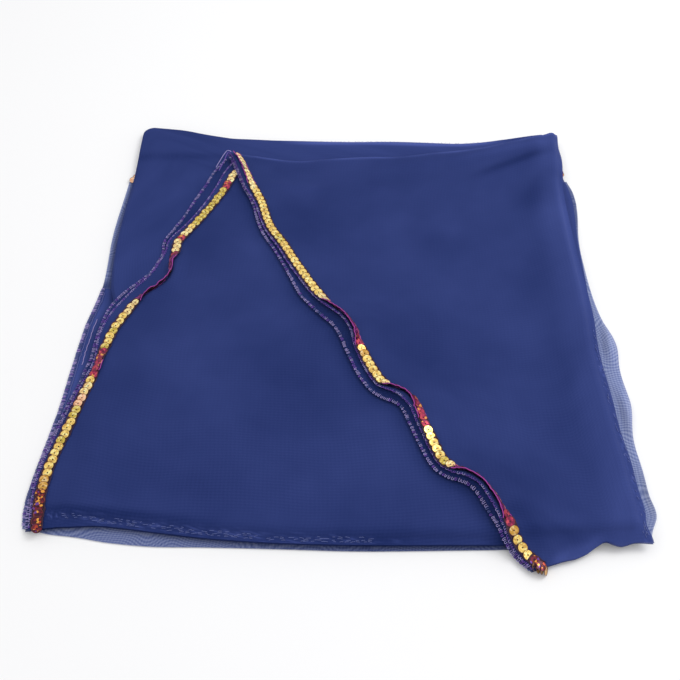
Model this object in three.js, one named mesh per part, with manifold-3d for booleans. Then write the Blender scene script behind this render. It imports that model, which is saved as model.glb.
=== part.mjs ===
// A chiffon shawl with a sequin trim along its edge, folded to a flat square and laid on a table.
//
// Two loose stretches lie on top. The shawl was doubled, so each stretch is two layers of cloth, and
// they are one length turned over at a fold near the back. The trimmed edge crosses that fold, which
// gives the upside-down V: the lower stretch has the left leg and the upper stretch the right one.
// Below them are the hidden layers, as one solid with a layered rim, and a single sheer layer that
// reaches out past the pile on the table.
//
// Units are millimetres. +X is to the right, +Y away from the front edge and +Z up. The tables below
// count from a point on the table near the middle of the square, and the finished group is shifted so
// that its origin is on the table, under the middle of its outer sizes.

import * as THREE from 'three';
import { mergeVertices } from 'three/addons/utils/BufferGeometryUtils.js';
import Module from 'manifold-3d';

// The cloth and how it lies
const clothThickness = 1.3; // one layer, as a wall, measured upright
const layerGap = 0.4; // air between two layers
const layerPitch = clothThickness + layerGap;
const hiddenLayers = 4; // folds that show at the rim of the pile
const hiddenLayerHeight = 1.1;
const pileBottom = clothThickness + layerGap;
const pileTop = pileBottom + hiddenLayers * hiddenLayerHeight;
const pileRimRadius = 5; // rounding of the pile's upper edge
const restingHeight = pileTop + layerGap + clothThickness / 2; // middle of the lowest loose layer

// The rim, where the loose layers turn down over the pile and out again on the table
const rimTurnDown = pileRimRadius + restingHeight - pileTop; // radius at the top of the slope
const rimTurnOut = 6; // radius at its foot
const rimFall = restingHeight - (clothThickness + layerGap + clothThickness / 2);
const rimAngle = Math.acos(1 - rimFall / (rimTurnDown + rimTurnOut));
const rimWidth = (rimTurnDown + rimTurnOut) * Math.sin(rimAngle);
const rimSteps = [0, 2.6, 5.2, 7.8]; // distances out at which the loose layers are bent
const pileShy = 2; // how far the pile stays back from the layers that turn down over it
const frontStandOff = 1.1; // the upper stretch stands off the front rim
const rightStandOff = 0.5;
const seamAtFold = 1.3; // the lower stretch stops short of the turned fold

// The trim: a string of flat round sequins, and how high its edge stands where it rolls over
const trimWidth = 6;
const trimThickness = 0.8;
const trimLift = 0.35; // above the cloth
const crestHeight = 3.8;
const underCrest = 0.45; // the layer beneath rises this share as high
const rolledTrimWidth = 4.5; // the trim's width seen from above where it is rolled on edge
const nearEdge = 13; // cloth that follows the edge's line rather than the square

// The upper stretch's edge, from the back fold to the tip. x and y are the middle of the trim. own is
// how far the top layer reaches out from there, and under how far the layer beneath does. roll is 0
// where the trim lies flat and 1 where it stands on edge, hem side up.
const upperEdge = [
  { x: -87, y: 145.4, own: 6, under: 8, roll: 0 },
  { x: -68, y: 98, own: 6.3, under: 7, roll: 0 },
  { x: -50, y: 47, own: 5, under: 8, roll: 0 },
  { x: -34, y: 15, own: 5.2, under: 9, roll: 0 },
  { x: -18, y: -12, own: 4.5, under: 11.5, roll: 0.1 },
  { x: -4, y: -29, own: 4, under: 10.5, roll: 0.9 },
  { x: 8, y: -45, own: 3.6, under: 11, roll: 1 },
  { x: 13, y: -64, own: 4, under: 10, roll: 0.5 },
  { x: 20.5, y: -83, own: 4.5, under: 10.5, roll: 0 },
  { x: 29, y: -97.5, own: 4.5, under: 10, roll: 0.2 },
  { x: 39, y: -104, own: 4.2, under: 9.5, roll: 1 },
  { x: 48, y: -111, own: 6, under: 10, roll: 0.6 },
  { x: 54, y: -129, own: 4.8, under: 9, roll: 0.4 },
  { x: 61, y: -151, own: 4, under: 8.5, roll: 0 },
  { x: 70, y: -162, own: 3.8, under: 7.8, roll: 0.3 },
  { x: 83, y: -168.5, own: 3.6, under: 7.5, roll: 1 },
  { x: 93, y: -182, own: 4, under: 8, roll: 1 },
  { x: 98, y: -198, own: 4.4, under: 7, roll: 0.4 },
  { x: 105.5, y: -211.5, own: 4.8, under: 6.2, roll: 0 },
  { x: 116.5, y: -224.5, own: 5.2, under: 6.4, roll: 0 },
];

// The lower stretch's edge, from the same fold to the front left corner. Here the trim rolls the other
// way, hem side down.
const lowerEdge = [
  { x: -80, y: 142.4, own: 9, under: 18, roll: 0 },
  { x: -91.5, y: 114, own: 8.6, under: 19, roll: 0 },
  { x: -103, y: 84, own: 7, under: 17.5, roll: 0 },
  { x: -117, y: 54, own: 6.8, under: 13.5, roll: 0 },
  { x: -124.5, y: 37, own: 8, under: 12, roll: 0 },
  { x: -126, y: 20, own: 9.5, under: 12, roll: 0.7 },
  { x: -129, y: 0, own: 13.5, under: 17, roll: 1 },
  { x: -142, y: -16.5, own: 12.5, under: 17, roll: 0.8 },
  { x: -154, y: -34.5, own: 10.5, under: 15.5, roll: 0 },
  { x: -162, y: -57, own: 8, under: 11, roll: 0 },
  { x: -164, y: -77, own: 6, under: 10, roll: 0.5 },
  { x: -169, y: -97, own: 5.8, under: 9, roll: 0 },
  { x: -174, y: -122, own: 6.4, under: 9, roll: 0 },
  { x: -180, y: -147, own: 5.8, under: 8, roll: 0 },
  { x: -182.5, y: -172, own: 5.2, under: 7.4, roll: 0 },
  { x: -182, y: -188, own: 5, under: 7.2, roll: 0 },
  { x: -180.5, y: -200, own: 5, under: 7.2, roll: 0 },
];

// The back fold that joins the two stretches
const foldLine = [
  { x: -97, y: 148.5 },
  { x: -86, y: 145.5 },
  { x: -57, y: 139 },
  { x: -34, y: 136 },
  { x: -9, y: 139 },
  { x: 24, y: 141.5 },
  { x: 51, y: 142 },
  { x: 79, y: 147 },
  { x: 122, y: 152.5 },
  { x: 154, y: 163 },
  { x: 178, y: 172 },
  { x: 190, y: 175 },
];

// The right side at each depth y: where the pile starts to round off, and how far the upper and the
// lower stretch and the bottom layer reach
const rightSide = [
  { y: -210, core: 172, upper: 182.5, lower: 182, bottom: 185 },
  { y: -190, core: 171.5, upper: 181.8, lower: 181.3, bottom: 191 },
  { y: -155, core: 171.5, upper: 182, lower: 181.5, bottom: 191.5 },
  { y: -132, core: 170.8, upper: 181, lower: 180.5, bottom: 191.5 },
  { y: -106, core: 169.5, upper: 179.7, lower: 179.2, bottom: 194.5 },
  { y: -76, core: 169, upper: 179.2, lower: 178.7, bottom: 194 },
  { y: -58, core: 169.3, upper: 179.5, lower: 179, bottom: 195 },
  { y: -35, core: 171, upper: 181.3, lower: 181.3, bottom: 192 },
  { y: -10, core: 173, upper: 183.5, lower: 184, bottom: 190 },
  { y: 20, core: 174, upper: 184.3, lower: 186, bottom: 188 },
  { y: 50, core: 173, upper: 183, lower: 187.5, bottom: 189.5 },
  { y: 90, core: 173.5, upper: 182.5, lower: 190.5, bottom: 194 },
  { y: 120, core: 176, upper: 184, lower: 187, bottom: 192 },
  { y: 150, core: 179, upper: 187.5, lower: 186, bottom: 190 },
  { y: 176, core: 183, upper: 189, lower: 186, bottom: 190 },
];

// The front at each x, in the same way
const frontSide = [
  { x: -190, core: -184, lower: -194, bottom: -198 },
  { x: -174, core: -185, lower: -194.5, bottom: -201.5 },
  { x: -158, core: -186, lower: -195, bottom: -203.5 },
  { x: -138, core: -188.5, lower: -198, bottom: -207 },
  { x: -112, core: -192, lower: -201.5, bottom: -209.5 },
  { x: -80, core: -196, lower: -205.5, bottom: -210 },
  { x: -40, core: -199.5, lower: -208.5, bottom: -211 },
  { x: 10, core: -201, lower: -210, bottom: -212.5 },
  { x: 65, core: -200.5, lower: -210, bottom: -212 },
  { x: 118, core: -200.5, lower: -210, bottom: -212 },
  { x: 150, core: -199.5, lower: -209, bottom: -210.5 },
  { x: 187, core: -197, lower: -206.5, bottom: -208.5 },
];

// The upper stretch's front edge, to the right of the tip
const upperFront = [
  { x: 118, y: -225 },
  { x: 126, y: -219.5 },
  { x: 140, y: -217.5 },
  { x: 148, y: -213 },
  { x: 156, y: -209.5 },
  { x: 166, y: -210.5 },
  { x: 182, y: -208.5 },
];

// The left side: the pile's and the bottom layer's
const pileLeft = [
  { y: -196, x: -144 },
  { y: -66, x: -145 },
  { y: -42, x: -150 },
  { y: -20, x: -161 },
  { y: 0, x: -168 },
  { y: 30, x: -171.5 },
  { y: 100, x: -172 },
  { y: 186, x: -168.5 },
];
const bottomLeft = [
  { y: -199, x: -190.5 },
  { y: -186, x: -192.5 },
  { y: -170, x: -192.5 },
  { y: -142, x: -190 },
  { y: -110, x: -187 },
  { y: -74, x: -185.5 },
  { y: -38, x: -183.5 },
  { y: -10, x: -179.5 },
  { y: 8, x: -178 },
  { y: 60, x: -180 },
  { y: 124, x: -177.5 },
];
const bottomBack = 124; // the bottom layer ends in a trimmed edge under the pile

// The pile's back
const pileBack = [
  { x: -168, y: 190 },
  { x: -140, y: 187 },
  { x: -118, y: 180 },
  { x: -96, y: 173.5 },
  { x: -35, y: 171 },
  { x: 35, y: 171 },
  { x: 85, y: 169 },
  { x: 110, y: 169 },
  { x: 140, y: 173 },
  { x: 183, y: 182 },
];

// The tent that the lower stretch makes at the front left, from the pile out to the table: it slopes
// between the inner and outer x, and grows from back to front
const tent = { inner: -150, outer: -187, back: -28, front: -85 };

// Broad swells of the whole pile: middle, half width, half depth and height
const swells = [
  { x: -118, y: 118, width: 62, depth: 70, height: 0.9 },
  { x: 75, y: 10, width: 95, depth: 90, height: 1.3 },
  { x: -55, y: -105, width: 75, depth: 65, height: 1.0 },
  { x: 120, y: -120, width: 60, depth: 60, height: 0.7 },
];

// Soft pleats in the upper stretch, fanning out from its back right corner
const pleats = [
  { fromX: 182, fromY: 168, toX: 84, toY: 138, halfWidth: 9, height: 2.0 },
  { fromX: 182, fromY: 152, toX: 92, toY: 104, halfWidth: 13, height: 1.8 },
  { fromX: 180, fromY: 128, toX: 138, toY: 74, halfWidth: 12, height: 1.4 },
];

const upright = new THREE.Vector3(0, 0, 1);
const clamp = THREE.MathUtils.clamp;
const lerp = THREE.MathUtils.lerp;
const smooth = (t) => THREE.MathUtils.smoothstep(t, 0, 1);

// A smooth value at t, which counts the rows of a table from 0
function through(rows, column, t) {
  const last = rows.length - 1;
  const i = clamp(Math.floor(t), 0, last - 1);
  const f = t - i;
  const [a, b, c, d] = [-1, 0, 1, 2].map((k) => rows[clamp(i + k, 0, last)][column]);
  return b + 0.5 * f * (c - a + f * (2 * a - 5 * b + 4 * c - d + f * (3 * (b - c) + d - a)));
}

// A smooth value where the key column reaches at
function where(rows, key, column, at) {
  const last = rows.length - 1;
  let i = 0;
  while (i < last - 1 && rows[i + 1][key] < at) i += 1;
  const f = clamp((at - rows[i][key]) / (rows[i + 1][key] - rows[i][key]), 0, 1);
  return through(rows, column, i + f);
}

const coreRight = (y) => where(rightSide, 'y', 'core', y);
const coreFront = (x) => where(frontSide, 'x', 'core', x);

// How far the cloth has come down, at a distance out from where the pile starts to round off
function rimDrop(out) {
  const turn = rimTurnDown * Math.sin(rimAngle);
  if (out <= 0) return 0;
  if (out < turn) return rimTurnDown - Math.sqrt(rimTurnDown ** 2 - out ** 2);
  const left = Math.max(0, rimWidth - out);
  return rimFall - (rimTurnOut - Math.sqrt(rimTurnOut ** 2 - left ** 2));
}

function swell(x, y) {
  return swells.reduce((sum, s) => {
    const away = ((x - s.x) / s.width) ** 2 + ((y - s.y) / s.depth) ** 2;
    return sum + s.height * Math.exp(-away);
  }, 0);
}

function pleatLift(x, y) {
  return pleats.reduce((sum, p) => {
    const [ax, ay] = [p.toX - p.fromX, p.toY - p.fromY];
    const length = Math.hypot(ax, ay);
    const along = ((x - p.fromX) * ax + (y - p.fromY) * ay) / length ** 2;
    const off = ((x - p.fromX) * ay - (y - p.fromY) * ax) / length;
    const fade = smooth((along + 0.15) / 0.3) * smooth((1 - along) / 0.6);
    return sum + p.height * fade * Math.exp(-((off / p.halfWidth) ** 2));
  }, 0);
}

// The middle of the lowest loose layer
function restHeight(x, y) {
  const right = Math.max(0, x - coreRight(y));
  const front = Math.max(0, coreFront(x) - y);
  const rim = rimDrop(Math.hypot(right, front));
  const outward = clamp((tent.inner - x) / (tent.inner - tent.outer), 0, 1);
  const slope = 0.5 - 0.5 * Math.cos(Math.PI * outward);
  const tentDrop = rimFall * slope * smooth((tent.back - y) / (tent.back - tent.front));
  return restingHeight + swell(x, y) * (1 - rim / rimFall) - Math.max(rim, tentDrop);
}

// The upper stretch stands off the rim a little, and its tip sinks to the table past the lower stretch
function upperLift(x, y) {
  const front = coreFront(x) - y;
  const right = x - coreRight(y);
  const offFront = frontStandOff * smooth((front + 8) / 9) * (1 - smooth((front - 6) / 6));
  const offRight = rightStandOff * smooth((right + 8) / 9);
  const sink = 2 * layerPitch * smooth((front - rimWidth + 1) / 9);
  return pleatLift(x, y) + Math.max(offFront, offRight) - sink;
}

// The two stretches. side says which way the trim rolls. Rows of points are set wide apart over
// smoothLength, where the edge runs smoothly from the fold, then close, and closer still near the tip.
const lowerStretch = {
  edge: lowerEdge,
  side: -1,
  smoothLength: 100,
  rowSpacing: { wide: 33, close: 14, tip: 14 },
  reach: 'lower',
  front: frontSide.map(({ x, lower }) => ({ x, y: lower })),
  lift: () => 0,
};
const upperStretch = {
  edge: upperEdge,
  side: 1,
  smoothLength: 150,
  rowSpacing: { wide: 30, close: 13.5, tip: 6.5 },
  reach: 'upper',
  front: upperFront,
  lift: upperLift,
};

// Many points along a trimmed edge, each with its length from the fold
function finePoints(rows) {
  const steps = 600;
  const points = Array.from({ length: steps + 1 }, (_, k) => {
    const t = (k / steps) * (rows.length - 1);
    const read = (column) => through(rows, column, t);
    const [x, y, own, under] = ['x', 'y', 'own', 'under'].map(read);
    return { x, y, own, under, roll: clamp(read('roll'), 0, 1) };
  });
  points.forEach((p, k) => {
    const before = points[Math.max(0, k - 1)];
    p.length = k ? before.length + Math.hypot(p.x - before.x, p.y - before.y) : 0;
  });
  return points;
}

// The lengths from the fold at which an edge gets a row, the last ones over the front rim
function rowLengths(total, { smoothLength, rowSpacing }) {
  const overRim = rimWidth + 3;
  const tipPart = total - 45;
  const lengths = [];
  const spread = (from, to, spacing) => {
    const count = Math.ceil((to - from) / spacing);
    for (let k = 0; k < count; k += 1) lengths.push(lerp(from, to, k / count));
  };
  spread(0, smoothLength, rowSpacing.wide);
  spread(smoothLength, tipPart, rowSpacing.close);
  spread(tipPart, total - overRim, rowSpacing.tip);
  rimSteps.forEach((step) => lengths.push(total - overRim * (1 - step / rimWidth)));
  return [...lengths, total];
}

// A point of the edge for each row, with the direction into the cloth and, over the front rim, how far
// out from the pile the row lies
function edgeStations(stretch) {
  const points = finePoints(stretch.edge);
  const total = points.at(-1).length;
  const at = (length) => points.findLast((p) => p.length <= clamp(length, 0, total));
  const lengths = rowLengths(total, stretch);
  const firstRim = lengths.length - 1 - rimSteps.length;
  const look = 14; // length over which the direction is averaged
  const turnLength = 30; // length over which it turns away from the fold line
  const [foldStart, , foldNext] = foldLine;
  const fold = new THREE.Vector2(foldNext.x - foldStart.x, foldNext.y - foldStart.y).normalize();
  return lengths.map((length, j) => {
    const [a, b] = [at(length - look), at(length + look)];
    const along = new THREE.Vector2(b.x - a.x, b.y - a.y).normalize();
    const inward = new THREE.Vector2(-along.y, along.x);
    inward.lerp(fold, 1 - smooth(length / turnLength)).normalize();
    const atFront = j === lengths.length - 1;
    return { ...at(length), length, inward, rimStep: rimSteps[j - firstRim] ?? 0, atFront };
  });
}

const trimSpan = ({ roll }) => lerp(trimWidth, rolledTrimWidth, roll); // its width from above

// The height of the ridge where the trim is rolled on edge: steep under the trim, gentle behind it
function ridge(offset, station, side) {
  const crest = -0.5 * side * trimSpan(station);
  const steep = side * (offset - crest);
  const gentleWidth = side > 0 ? crest + station.under : nearEdge - crest;
  const fall = steep > 0 ? steep / trimSpan(station) : -steep / gentleWidth;
  return crestHeight * station.roll * (1 - smooth(fall));
}

// The columns near the edge: two for the layer beneath alone, then the top layer's edge, the trim's
// outer side, middle and inner side, and the end of the cloth that follows the edge
function nearColumns(station, side, crestShare) {
  const { own, under } = station;
  const reach = trimSpan(station) / 2;
  const offsets = [-under, lerp(-under, -own, 0.55), -own, -reach, 0, reach, nearEdge];
  return offsets.map((offset) => ({
    x: station.x + station.inward.x * offset,
    y: station.y + station.inward.y * offset,
    ridge: crestShare * ridge(offset, station, side),
  }));
}

// A layer's grid of points: rows run from the back fold to the front, columns from the trimmed edge to
// the right side. Each row is straight but for the bulges of the fold line and of the front, which
// fade away from them. The last rows and columns bend over the rim. Each point is the middle of the
// cloth, with the direction in which its thickness is measured.
function layerGrid(stretch, layer, crestShare) {
  const { side, reach, front, lift } = stretch;
  const foldFade = 110; // lengths over which the two bulges fade
  const frontFade = 70;
  const stations = edgeStations(stretch);
  const near = stations.map((station) => nearColumns(station, side, crestShare));
  const firstRim = stations.length - 1 - rimSteps.length;
  const bodyLength = stations[firstRim].length;
  const frontRight = front.at(-1);
  const foldRight = where(rightSide, 'y', reach, foldLine.at(-1).y);
  const foldRightY = where(foldLine, 'x', 'y', foldRight);
  return stations.map((station, j) => {
    const from = near[j].at(-1);
    const frontY = (x) => (station.atFront
      ? where(front, 'x', 'y', x)
      : coreFront(x) - station.rimStep);
    const share = Math.min(1, station.length / bodyLength);
    const rightY = lerp(foldRightY, frontY(frontRight.x), share);
    const right = where(rightSide, 'y', reach, rightY);
    const core = coreRight(rightY);
    const room = Math.min(1, (right - core) / (rimWidth - 0.5));
    const inner = [0.06, 0.2, 0.38, 0.56, 0.74, 0.9].map((v) => lerp(from.x, core, v));
    const across = [...inner, ...rimSteps.map((step) => core + step * room), right];
    const foldStart = near[0].at(-1);
    const frontStart = near[Math.max(j, firstRim)].at(-1);
    const byFold = 1 - smooth(station.length / foldFade);
    const byFront = 1 - smooth((bodyLength - station.length) / frontFade);
    const far = across.map((x) => {
      const v = (x - from.x) / (right - from.x);
      const foldX = lerp(foldStart.x, foldRight, v);
      const foldBulge = where(foldLine, 'x', 'y', foldX) - lerp(foldStart.y, foldRightY, v);
      const frontX = lerp(frontStart.x, frontRight.x, v);
      const straightFront = lerp(frontStart.y, frontY(frontRight.x), v);
      const frontBulge = (frontY(frontX) - straightFront) * smooth(v / 0.12);
      const y = lerp(from.y, rightY, v) + byFold * foldBulge + byFront * frontBulge;
      return { x, y, ridge: 0 };
    });
    return [...near[j], ...far].map((p) => {
      const z = restHeight(p.x, p.y) + layer * layerPitch + p.ridge + lift(p.x, p.y);
      return { middle: new THREE.Vector3(p.x, p.y, z), facing: upright };
    });
  });
}

// Rows that carry a layer of the upper stretch round the back fold, down to the lower stretch
function wrapRows(foldRow, layer) {
  const foldMiddle = 1.5; // in layers: between the four that meet at the fold
  const radius = (layer - foldMiddle) * layerPitch;
  return [180, 135, 90, 45].map((turn) => foldRow.map((v, i) => {
    const [a, b] = [foldRow[Math.max(0, i - 1)], foldRow[Math.min(foldRow.length - 1, i + 1)]];
    const line = b.middle.clone().sub(a.middle).setZ(0).normalize();
    const angle = THREE.MathUtils.degToRad(turn);
    const facing = new THREE.Vector3(-line.y, line.x, 0).multiplyScalar(Math.sin(angle));
    facing.z = Math.cos(angle);
    const centre = v.middle.clone().addScaledVector(upright, -radius);
    return { middle: centre.addScaledVector(facing, radius), facing };
  }));
}

function lowerLayer(layer, crestShare) {
  const grid = layerGrid(lowerStretch, layer, crestShare);
  grid[0].forEach((v) => {
    v.middle.y -= seamAtFold;
  });
  return grid;
}

function upperLayer(layer, crestShare) {
  const grid = layerGrid(upperStretch, layer, crestShare);
  return [...wrapRows(grid[0], layer), ...grid];
}

// The bottom layer lies flat on the table, and the margin that is free at the right lifts in waves
function bottomLayer() {
  const depths = [
    bottomBack, 100, 75, 50, 25, 0, -15, -30, -38, -46, -60, -75, -90, -105, -120, -135, -150,
    -165, -180, -192,
  ];
  const wave = { height: 3, length: 62, phase: 0.6, back: 20, fade: 30, margin: 6, shy: 4.3 };
  const [left, right] = [bottomLeft[0].x, rightSide[0].bottom];
  return [...depths, null].map((depth) => {
    return [0, 0.03, 0.15, 0.3, 0.45, 0.6, 0.75, 0.9, 0.97, 0.985, 1].map((v) => {
      const y = depth ?? where(frontSide, 'x', 'bottom', lerp(left, right, v));
      const x = lerp(where(bottomLeft, 'y', 'x', y), where(rightSide, 'y', 'bottom', y), v);
      const covered = Math.max(where(rightSide, 'y', 'upper', y), where(rightSide, 'y', 'lower', y));
      const free = smooth((x - covered - wave.shy) / wave.margin) * smooth((wave.back - y) / wave.fade);
      const lift = 0.5 + 0.5 * Math.sin((y * Math.PI * 2) / wave.length + wave.phase);
      const z = clothThickness / 2 + wave.height * free * lift;
      return { middle: new THREE.Vector3(x, y, z), facing: upright };
    });
  });
}

function solid(position, index) {
  const geometry = new THREE.BufferGeometry();
  geometry.setAttribute('position', new THREE.Float32BufferAttribute(position, 3));
  geometry.setIndex(index);
  geometry.computeVertexNormals();
  return geometry;
}

// A closed wall between two heights over the cloth's middle, over part of a grid
function wall(grid, low, high, columns, rows) {
  const part = grid.slice(rows[0], rows[1] + 1).map((row) => row.slice(columns[0], columns[1] + 1));
  const [nj, ni] = [part.length, part[0].length];
  const position = [low, high].flatMap((height) => part.flat().flatMap(
    (v) => v.middle.clone().addScaledVector(v.facing, height).toArray(),
  ));
  const index = [];
  const lower = (j, i) => j * ni + i;
  const upper = (j, i) => nj * ni + j * ni + i;
  const quad = (a, b, c, d) => index.push(a, b, c, a, c, d);
  for (let j = 0; j < nj - 1; j += 1) {
    for (let i = 0; i < ni - 1; i += 1) {
      quad(upper(j, i), upper(j + 1, i), upper(j + 1, i + 1), upper(j, i + 1));
      quad(lower(j, i), lower(j, i + 1), lower(j + 1, i + 1), lower(j + 1, i));
    }
    quad(upper(j, 0), lower(j, 0), lower(j + 1, 0), upper(j + 1, 0));
    quad(lower(j, ni - 1), upper(j, ni - 1), upper(j + 1, ni - 1), lower(j + 1, ni - 1));
  }
  for (let i = 0; i < ni - 1; i += 1) {
    quad(upper(0, i), upper(0, i + 1), lower(0, i + 1), lower(0, i));
    quad(upper(nj - 1, i), lower(nj - 1, i), lower(nj - 1, i + 1), upper(nj - 1, i + 1));
  }
  return solid(position, index);
}

// The pile's outline from above, anticlockwise, with cut corners
function pileOutline() {
  const sidePoints = 12;
  const cut = 5;
  const along = (from, to, point) => {
    const step = (to - from) / (sidePoints - 1);
    return Array.from({ length: sidePoints }, (_, k) => new THREE.Vector2(...point(from + k * step)));
  };
  const frontLeft = pileLeft[0].x;
  const [backLeft, backRight] = [pileBack[0], pileBack.at(-1)];
  const rightFront = frontSide.at(-1).core;
  return [
    ...along(frontLeft + cut, coreRight(rightFront) - cut, (x) => [x, coreFront(x)]),
    ...along(rightFront + cut, backRight.y - cut, (y) => [coreRight(y), y]),
    ...along(backRight.x - cut, backLeft.x + cut, (x) => [x, where(pileBack, 'x', 'y', x)]),
    ...along(backLeft.y - cut, coreFront(frontLeft) + cut, (y) => [where(pileLeft, 'y', 'x', y), y]),
  ];
}

// The pile of hidden layers: rings that follow its outline and bulge once for each layer, and a top
// that swells like what lies on it
function pileForm() {
  const outline = pileOutline();
  const count = outline.length;
  const outward = outline.map((_, k) => {
    const line = outline[(k + 1) % count].clone().sub(outline.at(k - 1)).normalize();
    return new THREE.Vector2(line.y, -line.x);
  });
  const creaseDepth = 0.7; // between two layers
  const uneven = 0.4;
  const rimCentre = pileBottom + 0.2; // height of the rounded rim's centre
  const rings = [];
  const addRing = (out, height) => rings.push(outline.map((p, k) => {
    const q = p.clone().addScaledVector(outward[k], out(k));
    return [q.x, q.y, height(q)];
  }));
  const addBulge = (layer, share, shy) => {
    const z = pileBottom + (layer + share) * hiddenLayerHeight;
    const reach = Math.sqrt(pileRimRadius ** 2 - (z - rimCentre) ** 2) - pileShy - shy;
    const wander = (k) => uneven * Math.sin(k * (0.9 + 0.35 * layer) + 2.1 * layer);
    addRing((k) => reach + wander(k), () => z);
  };
  addRing(() => pileRimRadius - pileShy - creaseDepth, () => 0);
  for (let layer = 0; layer < hiddenLayers; layer += 1) {
    if (layer) addBulge(layer, 0, creaseDepth);
    addBulge(layer, 0.3, 0);
    addBulge(layer, 0.75, 0);
  }
  const hub = new THREE.Vector2(0, -10);
  const topHeight = ({ x, y }) => pileTop - 0.1 + swell(x, y);
  addRing(() => 0.2, () => pileTop - 0.3);
  addRing(() => -3, (q) => pileTop - 0.1 + 0.8 * swell(q.x, q.y));
  [0.86, 0.64, 0.42, 0.2].forEach((share) => rings.push(outline.map((p) => {
    const q = hub.clone().lerp(p, share);
    return [q.x, q.y, topHeight(q)];
  })));
  const position = [...rings.flat(2), hub.x, hub.y, 0, hub.x, hub.y, topHeight(hub)];
  const [bottomHub, topHub] = [rings.length * count, rings.length * count + 1];
  const lastRing = (rings.length - 1) * count;
  const index = [];
  for (let k = 0; k < count; k += 1) {
    const n = (k + 1) % count;
    for (let ring = 0; ring < lastRing; ring += count) {
      index.push(ring + k, ring + n, ring + n + count, ring + k, ring + n + count, ring + k + count);
    }
    index.push(n, k, bottomHub, lastRing + k, lastRing + n, topHub);
  }
  return solid(position, index);
}

// The pile rests on the bottom layer, and behind that layer on the table
async function seatedPile() {
  const wasm = await Module();
  wasm.setup();
  const solidOf = (geometry) => {
    const shape = new THREE.BufferGeometry();
    shape.setAttribute('position', geometry.getAttribute('position'));
    shape.setIndex(geometry.index);
    const { attributes, index } = mergeVertices(shape);
    return new wasm.Manifold(new wasm.Mesh({
      numProp: 3,
      vertProperties: attributes.position.array,
      triVerts: new Uint32Array(index.array),
    }));
  };
  const room = { width: 500, depth: 500, height: 2 * pileBottom };
  const overBottomLayer = new THREE.BoxGeometry(room.width, room.depth, room.height);
  overBottomLayer.translate(0, bottomBack + layerGap - room.depth / 2, 0);
  const seated = solidOf(pileForm()).subtract(solidOf(overBottomLayer)).getMesh();
  return solid(Array.from(seated.vertProperties), Array.from(seated.triVerts));
}

// Chiffon, and the trim's gold sequins
const cloth = (color) => new THREE.MeshStandardMaterial({ color, roughness: 0.8, metalness: 0 });
const chiffon = () => cloth(0x2c3a76);
const sheerChiffon = () => cloth(0x5a6aa8);
const goldSequins = () => new THREE.MeshStandardMaterial({
  color: 0xd9a73c,
  roughness: 0.3,
  metalness: 0.8,
});

const shawl = new THREE.Group();
function add(name, geometry, material) {
  const mesh = new THREE.Mesh(geometry, material);
  mesh.name = name;
  shawl.add(mesh);
}

const half = clothThickness / 2;
const firstOwn = 2; // column where the top layer of a stretch starts
const trimColumns = [firstOwn + 1, firstOwn + 3];
const trimLow = half + trimLift;
const coveredByUpper = 116; // the lower trim shows in front of this depth
const layer = (grid, firstColumn = 0) => wall(
  grid,
  -half,
  half,
  [firstColumn, grid[0].length - 1],
  [0, grid.length - 1],
);
const trim = (grid, firstRow) => wall(
  grid,
  trimLow,
  trimLow + trimThickness,
  trimColumns,
  [firstRow, grid.length - 1],
);

const lowerTop = lowerLayer(1, 1);
const upperTop = upperLayer(3, 1);
const lowerTrimStart = lowerTop.findIndex((row) => row[trimColumns[1]].middle.y < coveredByUpper);
const upperTrimStart = upperTop.findIndex((row) => row[0].facing === upright);

add('bottom_layer', layer(bottomLayer()), sheerChiffon());
add('hidden_layers', await seatedPile(), chiffon());
add('lower_stretch_under', layer(lowerLayer(0, underCrest)), chiffon());
add('lower_stretch_top', layer(lowerTop, firstOwn), chiffon());
add('upper_stretch_under', layer(upperLayer(2, underCrest)), chiffon());
add('upper_stretch_top', layer(upperTop, firstOwn), chiffon());
add('lower_sequin_trim', trim(lowerTop, lowerTrimStart), goldSequins());
add('upper_sequin_trim', trim(upperTop, upperTrimStart), goldSequins());

const middle = new THREE.Box3().setFromObject(shawl).getCenter(new THREE.Vector3());
shawl.position.set(-middle.x, -middle.y, 0);

export default shawl;
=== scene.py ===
# %% [markdown]
# # A chiffon shawl, folded and laid on a table
#
# This lesson models a dark blue chiffon shawl as it lies folded for a catalogue picture. A trim of
# gold sequins runs along its edge and makes an upside-down V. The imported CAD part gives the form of
# each layer. Here every layer becomes a thin, slightly sheer cloth that lies on that form.

# %% Start
import math

import bpy
import numpy as np
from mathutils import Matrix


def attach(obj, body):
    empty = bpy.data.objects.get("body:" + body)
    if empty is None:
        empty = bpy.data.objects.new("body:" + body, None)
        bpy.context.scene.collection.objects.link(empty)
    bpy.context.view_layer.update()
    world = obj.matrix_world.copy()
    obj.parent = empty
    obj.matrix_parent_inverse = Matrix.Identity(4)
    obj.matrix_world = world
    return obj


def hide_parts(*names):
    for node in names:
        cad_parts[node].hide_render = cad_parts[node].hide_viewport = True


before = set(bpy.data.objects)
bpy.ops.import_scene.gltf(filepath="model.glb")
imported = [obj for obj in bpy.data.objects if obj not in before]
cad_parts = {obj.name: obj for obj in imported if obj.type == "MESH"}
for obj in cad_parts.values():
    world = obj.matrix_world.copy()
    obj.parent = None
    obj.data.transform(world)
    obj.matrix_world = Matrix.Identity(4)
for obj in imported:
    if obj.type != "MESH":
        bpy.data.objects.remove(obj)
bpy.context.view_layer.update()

# %% [markdown]
# ## Sizes
#
# All the tables are in millimetres and count from a point on the table near the middle of the
# square. The CAD part has its origin under the middle of its outer sizes, so one shift leads from
# the tables to the part.

# %% Sizes and helpers
MM = 0.001
ORIGIN = np.array([1.15, -17.88, 0.0])  # the part's origin, in the tables' millimetres


def table(columns, rows):
    """A short table with named columns."""
    return dict(zip(columns.split(), np.array(rows, float).T))


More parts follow.
